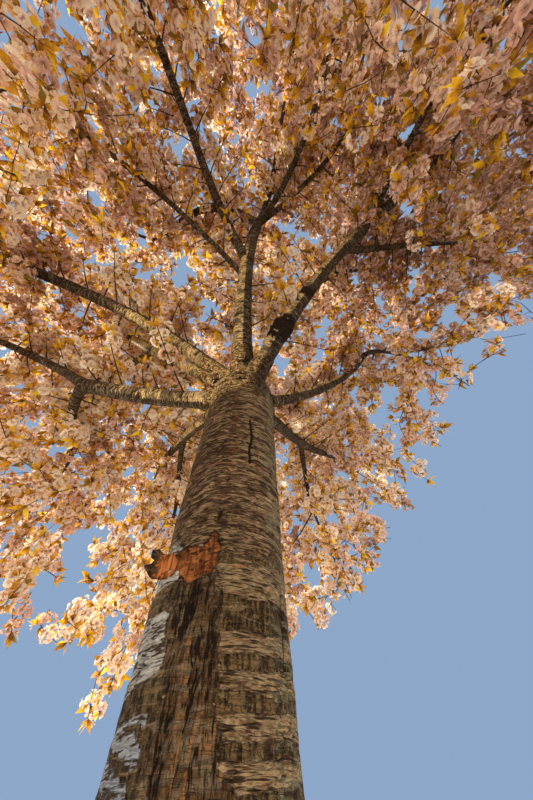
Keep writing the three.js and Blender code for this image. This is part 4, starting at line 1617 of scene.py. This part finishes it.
class Finish:
    """A material that is being made. Its methods add nodes and give back their outputs."""

    def __init__(self, name):
        self.material = bpy.data.materials.new(name)
        self.material.use_nodes = True
        self.tree = self.material.node_tree
        self.tree.nodes.clear()

    def node(self, kind, sockets=None, settings=None):
        made = self.tree.nodes.new(kind)
        for key, value in (settings or {}).items():
            setattr(made, key, value)
        for key, value in (sockets or {}).items():
            attach(self.tree, value, made.inputs[key])
        return made

    def stored(self, name, output):
        """What is stored on the mesh under a name."""
        return self.node("ShaderNodeAttribute", None, {"attribute_name": name}).outputs[output]

    def number(self, name):
        return Wire(self.tree, self.stored(name, "Fac"))

    def place(self):
        """The place in the object."""
        return self.node("ShaderNodeTexCoord").outputs["Object"]

    def grain(self, place, scale, detail=2.0, distortion=0.0, shift=0.0):
        """Noise from 0 to 1, its scale given across, across and along."""
        moved = self.node("ShaderNodeMapping", {
            "Vector": place, "Scale": scale, "Location": (shift, shift, shift)})
        made = self.node("ShaderNodeTexNoise", {
            "Vector": moved.outputs[0], "Scale": 1.0, "Detail": detail, "Distortion": distortion})
        return Wire(self.tree, made.outputs["Fac"])

    def blend(self, share, first, second):
        """A mix of two colours."""
        made = self.node("ShaderNodeMix", None, {"data_type": "RGBA", "clamp_factor": True})
        for value, index in ((share, 0), (opaque(first), 6), (opaque(second), 7)):
            attach(self.tree, value, made.inputs[index])
        return made.outputs[2]

    def surface(self, sockets):
        """The shader of a plain surface."""
        return self.node("ShaderNodeBsdfPrincipled", sockets).outputs[0]

    def bump(self, height, distance):
        made = self.node("ShaderNodeBump", {
            "Height": height, "Distance": distance, "Strength": 1.0})
        return made.outputs["Normal"]

    def close(self, shader):
        output = self.node("ShaderNodeOutputMaterial")
        self.tree.links.new(shader, output.inputs["Surface"])
        return self.material


def opaque(colour):
    """A colour with its fourth number, or another node's output as it is."""
    if isinstance(colour, bpy.types.NodeSocket):
        return colour
    return (*colour, 1.0)


class Bark(Finish):
    """A bark that is being made: its noises, and the colour and height so far."""

    def __init__(self, name, settings, patch_scale):
        super().__init__(name)
        self.settings = settings
        self.along = self.stored("straight", "Vector")
        self.relief = self.number("relief")
        self.wrinkle = self.grain(self.along, (26, 26, 130), 3.0, 0.6)
        self.fine = self.grain(self.along, (70, 70, 300), 2.0, 0.2, 3.0)
        self.patches = self.grain(self.along, patch_scale, 2.0, 0.6, 7.0)
        self.speck = self.grain(self.along, (230, 230, 230), 2.0, 0.0, 11.0)
        self.ragged = self.grain(self.along, (48, 48, 80), 3.0, 0.4, 21.0)
        self.dashes = self.grain(self.along, (24, 24, 210), 1.0, 0.2, 3.0).sharpened(0.57, 0.65)
        folds = abs(self.grain(self.along, (11, 11, 78), 3.0, 0.7, 51.0) - 0.5)
        self.creases = folds.sharpened(0.05, 0.012)
        # The colour also follows the stored relief: darker in the grooves and paler on the ridges, painted
        # shade and highlight over the bark's own mottling.
        self.depth = self.wrinkle * 0.5 + self.fine * 0.35 + self.speck * 0.25 + self.relief * 0.3 - 0.2
        self.height = self.wrinkle * 0.6 + self.fine * 0.3 + self.speck * 0.2 - self.dashes * 0.25

    def start(self, base, paler, paleness, least):
        """The plain bark: dark crevices, a base colour, and a paler one where paleness is high."""
        plain = self.blend(self.depth.sharpened(0.40, 0.60), self.settings.crevice, base)
        self.lit = paleness.sharpened(least, least + 0.09)
        self.colour = self.blend(self.lit, plain, paler)

    def lay(self, share, colour):
        """Lays a colour over what there is, by a share from 0 to 1."""
        self.colour = self.blend(share, self.colour, colour)

    def edged(self, name):
        """A mask stored on the mesh, its soft edge cut ragged by noise."""
        return (self.number(name) + self.ragged * 1.1 - 0.55).sharpened(0.42, 0.58)

    def finished(self):
        """Weathers the bark and gives back the material."""
        weather = self.grain(self.along, (2.4, 2.4, 2.4), 2.0, 0.3, 5.0)
        self.lay(weather.sharpened(0.6, 0.35) * 0.35, self.settings.crevice)
        return self.close(self.surface({
            "Base Color": self.colour, "Roughness": 0.88 - self.lit * 0.2, "Specular IOR Level": 0.2,
            "Normal": self.bump(self.height - self.creases * 0.35, 0.009)}))


def limb_finish(name, settings, paler, base, least):
    """Ringed bark in two colours, with painted sunlight in flecks where the low sun strikes, painted
    greyish shade where it doesn't reach, and burnt on the burl.
    """
    bark = Bark(name, settings, (13, 13, 60))
    # The relief's share in the paleness is painted highlight on raised bark.
    paleness = bark.patches * 0.35 + bark.fine * 0.35 + bark.relief * 0.3 + bark.wrinkle * 0.1
    bark.start(base, paler, paleness, least)
    mottled = (bark.patches * 0.5 + bark.fine * 0.5).sharpened(0.48, 0.58)
    # Painted shade: the bark's colour on the side away from the low sun.
    greyish = bark.blend(mottled, settings.dark, (0.30, 0.25, 0.17))
    painted_shade_colour = bark.blend(bark.depth.sharpened(0.44, 0.58), settings.crevice, greyish)
    # The painted sunlight is broken into flecks, with painted shadow of the crown between them.
    painted_sun_flecks = bark.grain(bark.along, (7, 7, 10), 2.0, 0.5, 91.0).sharpened(0.40, 0.47)
    bark.colour = bark.blend(bark.edged("sunny") * (0.25 + 0.75 * painted_sun_flecks), painted_shade_colour, bark.colour)
    charred = bark.blend(bark.speck.sharpened(0.5, 0.7), (0.004, 0.002, 0.002), (0.05, 0.025, 0.014))
    bark.lay(bark.edged("burnt"), charred)
    bark.lay(bark.dashes * 0.6, settings.crevice)
    bark.lay(bark.creases * 0.9, settings.crevice)
    return bark.finished()


def trunk_finish(settings):
    """The trunk's plain ringed bark, with its special kinds of bark laid over it."""
    bark = Bark("trunk_bark", settings, (17, 17, 84))
    buff = [lerp(first, last, 0.45) for first, last in zip(settings.brown, settings.tan)]
    base = [part * 0.75 for part in settings.brown]
    # The relief's share in the paleness is painted highlight on raised bark.
    paleness = bark.patches * 0.25 + bark.fine * 0.35 + bark.relief * 0.25 + bark.wrinkle * 0.25
    bark.start(base, buff, paleness, 0.555)
    bark.lay(bark.dashes * 0.6, settings.crevice)
    bark.lay(bark.creases * 0.85, settings.crevice)
    lay_wrinkles(bark, settings, base, buff)
    flakes = bark.grain(bark.along, (95, 95, 30), 3.0, 0.7, 24.0)
    up = Wire(bark.tree, bark.node("ShaderNodeSeparateXYZ", {0: bark.along}).outputs["Z"])
    lay_knuckles(bark, settings)
    rugged = lay_rugged(bark, settings, flakes)
    banded = lay_bands(bark, settings)
    silvery = lay_silver(bark, settings, up)
    bark.lay(bark.number("lichen") * bark.patches.sharpened(0.46, 0.62) * 0.7, settings.lichen)
    furrowed = lay_furrows(bark, flakes)
    peeled = lay_peeled(bark, settings)
    ring = abs(up + bark.ragged * 0.02 - RING_LINE * MM - 0.01).sharpened(0.006, 0.002)
    bark.lay(ring * 0.5 * bark.patches.sharpened(0.4, 0.5), (0.60, 0.27, 0.16))
    bark.lay(bark.number("crack").sharpened(0.35, 0.75), (0.012, 0.006, 0.003))
    bark.height = bark.height * (1 - peeled * 0.7) + furrowed * 1.3 + rugged * 0.9
    bark.height = bark.height + banded * 0.35 + silvery * 0.5
    return bark.finished()


def lay_wrinkles(bark, settings, base, buff):
    """Folded bark with pale crests on the upper trunk, and a rusty streak down it."""
    folds = abs(bark.grain(bark.along, (9.5, 9.5, 50), 4.0, 1.3, 81.0) - 0.5)
    crests = (folds + bark.fine * 0.2 + bark.speck * 0.1 - 0.15).sharpened(0.08, 0.13)
    crest_colour = bark.blend(bark.speck.sharpened(0.4, 0.6), settings.tan, buff)
    folded = bark.blend(crests, base, crest_colour)
    bottoms = (folds + bark.fine * 0.1 - 0.05).sharpened(0.03, 0.055)
    folded = bark.blend(bottoms, settings.crevice, folded)
    streaky = bark.edged("rusty") * (bark.patches * 0.5 + bark.fine * 0.5).sharpened(0.5, 0.58)
    folded = bark.blend(streaky * 0.5, folded, (0.22, 0.09, 0.03))
    bark.lay(bark.number("wrinkled") * 0.8, folded)


def lay_knuckles(bark, settings):
    """Curled rings with dark gaps round the fork, painted gold where the low sun strikes and painted shade
    elsewhere.
    """
    whole = bark.place()
    curls = abs(bark.grain(whole, (19, 19, 34), 3.0, 1.5, 61.0) - 0.5).sharpened(0.015, 0.075)
    lips = bark.grain(whole, (36, 36, 80), 3.0, 1.2, 71.0)
    rings = (curls * 0.3 + bark.relief * 0.4 + lips * 0.5 - 0.12).sharpened(0.42, 0.54)
    painted_sun_gilt = bark.blend(lips.sharpened(0.5, 0.58), (0.30, 0.17, 0.06), settings.painted_sun_gold)
    # Painted shade on the curls away from the low sun; painted sunlight in gold on those facing it.
    painted_shade_colour = bark.blend(lips.sharpened(0.48, 0.6), (0.035, 0.018, 0.008), (0.17, 0.12, 0.07))
    raised = bark.blend(bark.number("sunny"), painted_shade_colour, painted_sun_gilt)
    bark.lay(bark.edged("knuckled") * 0.95, bark.blend(rings, (0.016, 0.007, 0.003), raised))


def lay_rugged(bark, settings, flakes):
    """Cracked plates on the lower trunk. Gives back how far they stand out."""
    cracked = (flakes * 0.7 + bark.speck * 0.3 + bark.relief * 0.25 - 0.12).sharpened(0.44, 0.6)
    plates = bark.blend(cracked, settings.crevice, (0.17, 0.115, 0.05))
    plates = bark.blend(bark.patches.sharpened(0.58, 0.7) * 0.6, plates, settings.tan)
    rugged = bark.edged("rugged")
    bark.lay(rugged * 0.9, plates)
    return cracked * rugged


def lay_bands(bark, settings):
    """The smooth pale bands, with rusty patches and dark dashes. Gives back where they are."""
    smooth = (bark.wrinkle * 0.6 + bark.fine * 0.4).sharpened(0.38, 0.6)
    bands = bark.blend(smooth, (0.16, 0.10, 0.05), [part * 0.8 for part in settings.tan])
    bands = bark.blend(bark.patches.sharpened(0.62, 0.72) * 0.5, bands, settings.rust)
    bands = bark.blend(bark.dashes * 0.95, bands, settings.crevice)
    banded = bark.edged("banded")
    bark.lay(banded * (0.55 + 0.4 * bark.ragged.sharpened(0.4, 0.55)), bands)
    return banded


def lay_silver(bark, settings, up):
    """The silvery scales, bluer low down, where the blue is painted skylight. Gives back how far they stand
    out.
    """
    scales = bark.grain(bark.along, (13, 13, 85), 3.0, 1.0, 33.0)
    scaly = (scales * 0.7 + bark.fine * 0.3).sharpened(0.42, 0.51)
    scale_colour = bark.blend(up.sharpened(0.7, 0.56), settings.silver, (0.44, 0.48, 0.56))
    silvery = bark.edged("silvery")
    bark.lay(silvery, bark.blend(scaly, (0.07, 0.045, 0.025), scale_colour))
    return scaly * silvery


def lay_furrows(bark, flakes):
    """Long ridges between deep furrows. Gives back how far they stand out."""
    ridges = bark.grain(bark.along, (130, 130, 34), 4.0, 1.2, 14.0)
    long_ridges = bark.grain(bark.along, (62, 62, 7), 3.0, 0.9, 41.0)
    crest = ridges * 0.5 + long_ridges * 0.3 + flakes * 0.2 + bark.relief * 0.15 - 0.08
    rusty = (long_ridges * 0.7 + bark.ragged * 0.3).sharpened(0.56, 0.60)
    plates = bark.blend(bark.patches.sharpened(0.48, 0.6), (0.12, 0.07, 0.032), (0.19, 0.14, 0.085))
    ridge_colour = bark.blend(rusty * 0.75, plates, (0.33, 0.16, 0.06))
    furrowed = bark.edged("furrowed")
    bark.lay(furrowed, bark.blend(crest.sharpened(0.46, 0.56), (0.013, 0.006, 0.002), ridge_colour))
    return ridges * furrowed


def lay_peeled(bark, settings):
    """The patch of fresh rusty inner bark. Gives back where it is."""
    fibres = bark.grain(bark.along, (60, 60, 16), 3.0, 0.6, 18.0)
    fresh = bark.blend(fibres.sharpened(0.40, 0.58), (0.15, 0.04, 0.010), settings.rust)
    fresh = bark.blend(bark.patches.sharpened(0.55, 0.42) * 0.6, fresh, (0.13, 0.04, 0.012))
    fresh = bark.blend(bark.ragged.sharpened(0.57, 0.64) * 0.8, fresh, settings.crevice)
    peeled = bark.edged("peeled")
    bark.lay(peeled, fresh)
    return peeled


def flap_finish(settings):
    """Fresh inner bark that turns dark and ragged towards its curled end."""
    finish = Finish("bark_flap")
    place = finish.place()
    fibres = finish.grain(place, (130, 130, 26), 3.0, 0.8)
    ragged = finish.grain(place, (60, 60, 60), 3.0, 0.4, 5.0)
    fresh = finish.blend(fibres.sharpened(0.4, 0.6), (0.15, 0.04, 0.01), settings.rust)
    outside = finish.blend(ragged.sharpened(0.45, 0.6), (0.018, 0.009, 0.004), (0.10, 0.06, 0.03))
    dark = (finish.number("outward") + ragged * 0.8 - 0.4).sharpened(0.5, 0.6)
    colour = finish.blend(dark, fresh, outside)
    return finish.close(finish.surface({
        "Base Color": colour, "Roughness": 0.85, "Specular IOR Level": 0.2,
        "Normal": finish.bump(fibres * 0.6 + ragged * 0.6, 0.006)}))


def petal_finish(name, colour, other, root_colour_and_shade):
    """A thin petal or leaf: light comes through it, it is a little uneven and deeper at its root, partly
    its own colour and partly painted shade in the middle of each flower and spray.
    """
    finish = Finish(name)
    place = finish.place()
    uneven = finish.grain(place, (45, 45, 45), 2.0)
    tint = finish.blend(uneven.sharpened(0.4, 0.75), colour, other)
    tint = finish.blend(finish.number("outward").sharpened(0.05, 0.66), root_colour_and_shade, tint)
    front = finish.surface({"Base Color": tint, "Roughness": 0.62, "Specular IOR Level": 0.25})
    through = finish.node("ShaderNodeBsdfTranslucent", {"Color": tint}).outputs[0]
    both = finish.node("ShaderNodeMixShader", {"Fac": LIGHT_THROUGH, 1: front, 2: through})
    return finish.close(both.outputs[0])


def twig_finish(settings):
    """Thin dark wood with paler rings."""
    finish = Finish("twig_bark")
    rings = finish.grain(finish.place(), (60, 60, 60), 3.0, 0.2)
    colour = finish.blend(rings.sharpened(0.45, 0.7), (0.018, 0.009, 0.005), settings.dark)
    return finish.close(finish.surface({
        "Base Color": colour, "Roughness": 0.7, "Normal": finish.bump(rings, 0.001)}))


# Operators


class CHERRY_OT_trunk_bark(bpy.types.Operator):
    """Makes the trunk with its root ridges, fork and the relief of its bark"""

    bl_idname = "cherry.trunk_bark"
    bl_label = "Trunk"

    def execute(self, context):
        settings = context.scene.cherry_bark
        add_piece("trunk_bark", trunk_bark_mesh(settings), [trunk_finish(settings)], ["trunk"])
        return {"FINISHED"}


class CHERRY_OT_bark_flap(bpy.types.Operator):
    """Makes the torn flap of bark beside the peeled patch"""

    bl_idname = "cherry.bark_flap"
    bl_label = "Bark flap"

    def execute(self, context):
        material = flap_finish(context.scene.cherry_bark)
        add_piece("bark_flap", flap_mesh(), [material], [])
        return {"FINISHED"}


class CHERRY_OT_bough_bark(bpy.types.Operator):
    """Makes the nine boughs with their ringed bark"""

    bl_idname = "cherry.bough_bark"
    bl_label = "Boughs"

    def execute(self, context):
        settings = context.scene.cherry_bark
        mesh = limb_tubes("bough_bark", BOUGHS, 28, settings)
        material = limb_finish("bough_bark", settings, settings.painted_sun_gold, settings.brown, 0.505)
        add_piece("bough_bark", mesh, [material], BOUGHS)
        return {"FINISHED"}


class CHERRY_OT_limb_bark(bpy.types.Operator):
    """Makes the limbs that grow from the boughs"""

    bl_idname = "cherry.limb_bark"
    bl_label = "Limbs"

    def execute(self, context):
        settings = context.scene.cherry_bark
        names = [name for name in LIMBS if name not in BOUGHS]
        mesh = limb_tubes("limb_bark", names, 16, settings)
        material = limb_finish("limb_bark", settings, settings.brown, settings.dark, 0.57)
        add_piece("limb_bark", mesh, [material], names)
        return {"FINISHED"}


def mass_nodes(names):
    """The CAD nodes of the masses that some limbs carry."""
    return ["blossom" + name[name.index("_"):] for name in names]


class CHERRY_OT_twigs(bpy.types.Operator):
    """Makes the stems, twigs, shoots and spurs that carry the blossom"""

    bl_idname = "cherry.twigs"
    bl_label = "Twigs"

    def execute(self, context):
        tree = crown()
        stems = [
            Twig(*stem.points, LIMBS[name].radius[1] * 0.97, STEM_RADIUS[1] * 0.7)
            for name, stem in tree.stems.items()
        ]
        spurs = [
            Twig(cluster.foot, lerp(cluster.foot, cluster.place, 0.5), cluster.place, *SPUR_RADIUS)
            for cluster in tree.clusters
        ]
        points, faces = join_shapes([
            tubes(stems, 8, 14), tubes(tree.twigs, 5, 6), tubes(tree.shoots, 3, 4), tubes(spurs, 3, 2)])
        mesh = mesh_of("twigs", points, faces)
        material = twig_finish(context.scene.cherry_bark)
        add_piece("twigs", mesh, [material], mass_nodes(tree.masses))
        return {"FINISHED"}


class CHERRY_OT_blossom(bpy.types.Operator):
    """Makes the petals of every double flower, in a few joined pieces"""

    bl_idname = "cherry.blossom"
    bl_label = "Blossom"

    def execute(self, context):
        settings = context.scene.cherry_blossom
        petals = [
            petal_finish("petal_cream", settings.cream, settings.blush, settings.rose),
            petal_finish("petal_blush", settings.blush, settings.cream, settings.painted_shade_petal),
            petal_finish("petal_peach", settings.peach, settings.blush, settings.painted_shade_petal),
            petal_finish("petal_rose", settings.rose, settings.peach, settings.painted_shade_petal),
            petal_finish("petal_painted_shade", settings.painted_shade_petal, settings.rose, settings.bronze),
        ]
        masses = crown().masses
        share = math.ceil(len(masses) / PETAL_PIECES)
        for number in range(PETAL_PIECES):
            names = masses[number * share:(number + 1) * share]
            chosen = [spray for spray in sprays() if spray.mass in names and not spray.is_tuft]
            mesh = spray_mesh(f"petals_{number + 1}", chosen, "petals")
            add_piece(mesh.name, mesh, petals, mass_nodes(names))
        return {"FINISHED"}


class CHERRY_OT_stalks(bpy.types.Operator):
    """Makes the flowers' thin stalks"""

    bl_idname = "cherry.stalks"
    bl_label = "Flower stalks"

    def execute(self, context):
        chosen = [spray for spray in sprays() if not spray.is_tuft]
        mesh = spray_mesh("flower_stalks", chosen, "stalks")
        material = petal_finish("stalk", (0.22, 0.20, 0.06), (0.26, 0.12, 0.05), (0.2, 0.07, 0.03))
        add_piece("flower_stalks", mesh, [material], [])
        return {"FINISHED"}


class CHERRY_OT_leaves(bpy.types.Operator):
    """Makes the young leaves among the blossom and at the tips of the shoots"""

    bl_idname = "cherry.leaves"
    bl_label = "Young leaves"

    def execute(self, context):
        settings = context.scene.cherry_blossom
        chosen = sprays()
        leaves = [
            petal_finish("leaf_gold", settings.gold, (0.5, 0.22, 0.05), settings.bronze),
            petal_finish("leaf_bronze", settings.bronze, settings.gold, (0.08, 0.03, 0.015)),
            petal_finish("leaf_olive", settings.olive, (0.3, 0.2, 0.04), settings.bronze),
            petal_finish("leaf_yellow", settings.yellow, settings.gold, settings.gold),
        ]
        share = math.ceil(len(chosen) / LEAF_PIECES)
        for number in range(LEAF_PIECES):
            part = chosen[number * share:(number + 1) * share]
            mesh = spray_mesh(f"leaves_{number + 1}", part, "leaves")
            add_piece(mesh.name, mesh, leaves, [])
        return {"FINISHED"}


class CHERRY_OT_stage(bpy.types.Operator):
    """Makes the floor, the lights and the camera"""

    bl_idname = "cherry.stage"
    bl_label = "Stage"

    def execute(self, context):
        settings = context.scene.cherry_stage
        self.make_floor(settings)
        self.make_lights(context, settings)
        self.make_camera(context)
        return {"FINISHED"}

    def make_floor(self, settings):
        shape = bmesh.new()
        bmesh.ops.create_circle(shape, cap_ends=True, segments=96, radius=settings.floor)
        floor = put_in_scene("floor", mesh_from(shape, "floor"))
        finish = Finish("floor")
        cloud = finish.grain(finish.place(), (0.6, 0.6, 0.6), 3.0)
        colour = finish.blend(cloud, settings.floor_colour, [part * 0.97 for part in settings.floor_colour])
        shader = finish.surface({"Base Color": colour, "Roughness": 0.8})
        floor.data.materials.append(finish.close(shader))

    def make_lights(self, context, settings):
        world = bpy.data.worlds.new("studio")
        world.use_nodes = True
        backdrop = world.node_tree.nodes["Background"]
        backdrop.inputs["Color"].default_value = (*settings.sky, 1)
        backdrop.inputs["Strength"].default_value = SKY_STRENGTH
        context.scene.world = world
        context.scene.view_settings.view_transform = "Standard"
        for name, strength, colour, angle, azimuth, elevation in (
            ("key", settings.key, (1.0, 0.86, 0.64), 6, 158, 42),
            ("fill", settings.key * FILL_SHARE, (1.0, 0.80, 0.56), 30, -50, 14),
        ):
            lamp = bpy.data.lights.new(name, "SUN")
            lamp.energy = strength
            lamp.color = colour
            lamp.angle = math.radians(angle)
            light = put_in_scene(name, lamp)
            towards = Vector(heading(azimuth, elevation))
            light.rotation_mode = "QUATERNION"
            light.rotation_quaternion = towards.to_track_quat("Z", "Y")

    def make_camera(self, context):
        right, up, forward = camera_axes()
        lens = bpy.data.cameras.new("camera")
        lens.sensor_width = SENSOR_WIDTH
        lens.lens = FOCAL_PIXELS * SENSOR_WIDTH / max(PICTURE_SIZE)
        lens.clip_start = CLIP_START
        lens.clip_end = CLIP_END
        camera = put_in_scene("camera", lens)
        turned = Matrix((right, up, -forward)).transposed()
        camera.matrix_world = Matrix.Translation(CAMERA_PLACE) @ turned.to_4x4()
        context.scene.camera = camera


class CHERRY_PT_panel(bpy.types.Panel):
    """Lists what makes the tree"""

    bl_label = "Cherry blossom tree"
    bl_idname = "CHERRY_PT_panel"
    bl_space_type = "VIEW_3D"
    bl_region_type = "UI"
    bl_category = "Cherry tree"

    def draw(self, context):
        for operator in OPERATORS:
            self.layout.operator(operator.bl_idname)


OPERATORS = (
    CHERRY_OT_stage,
    CHERRY_OT_trunk_bark,
    CHERRY_OT_bark_flap,
    CHERRY_OT_bough_bark,
    CHERRY_OT_limb_bark,
    CHERRY_OT_twigs,
    CHERRY_OT_blossom,
    CHERRY_OT_stalks,
    CHERRY_OT_leaves,
)
CLASSES = (BarkSettings, BlossomSettings, StageSettings, *OPERATORS, CHERRY_PT_panel)


def register():
    for each in CLASSES:
        bpy.utils.register_class(each)
    bpy.types.Scene.cherry_bark = bpy.props.PointerProperty(type=BarkSettings)
    bpy.types.Scene.cherry_blossom = bpy.props.PointerProperty(type=BlossomSettings)
    bpy.types.Scene.cherry_stage = bpy.props.PointerProperty(type=StageSettings)


def unregister():
    del bpy.types.Scene.cherry_stage
    del bpy.types.Scene.cherry_blossom
    del bpy.types.Scene.cherry_bark
    for each in reversed(CLASSES):
        bpy.utils.unregister_class(each)


def main():
    register()
    bpy.ops.cherry.stage()
    bpy.ops.cherry.trunk_bark()
    bpy.ops.cherry.bark_flap()
    bpy.ops.cherry.bough_bark()
    bpy.ops.cherry.limb_bark()
    bpy.ops.cherry.twigs()
    bpy.ops.cherry.blossom()
    bpy.ops.cherry.stalks()
    bpy.ops.cherry.leaves()


if __name__ == "__main__":
    main()
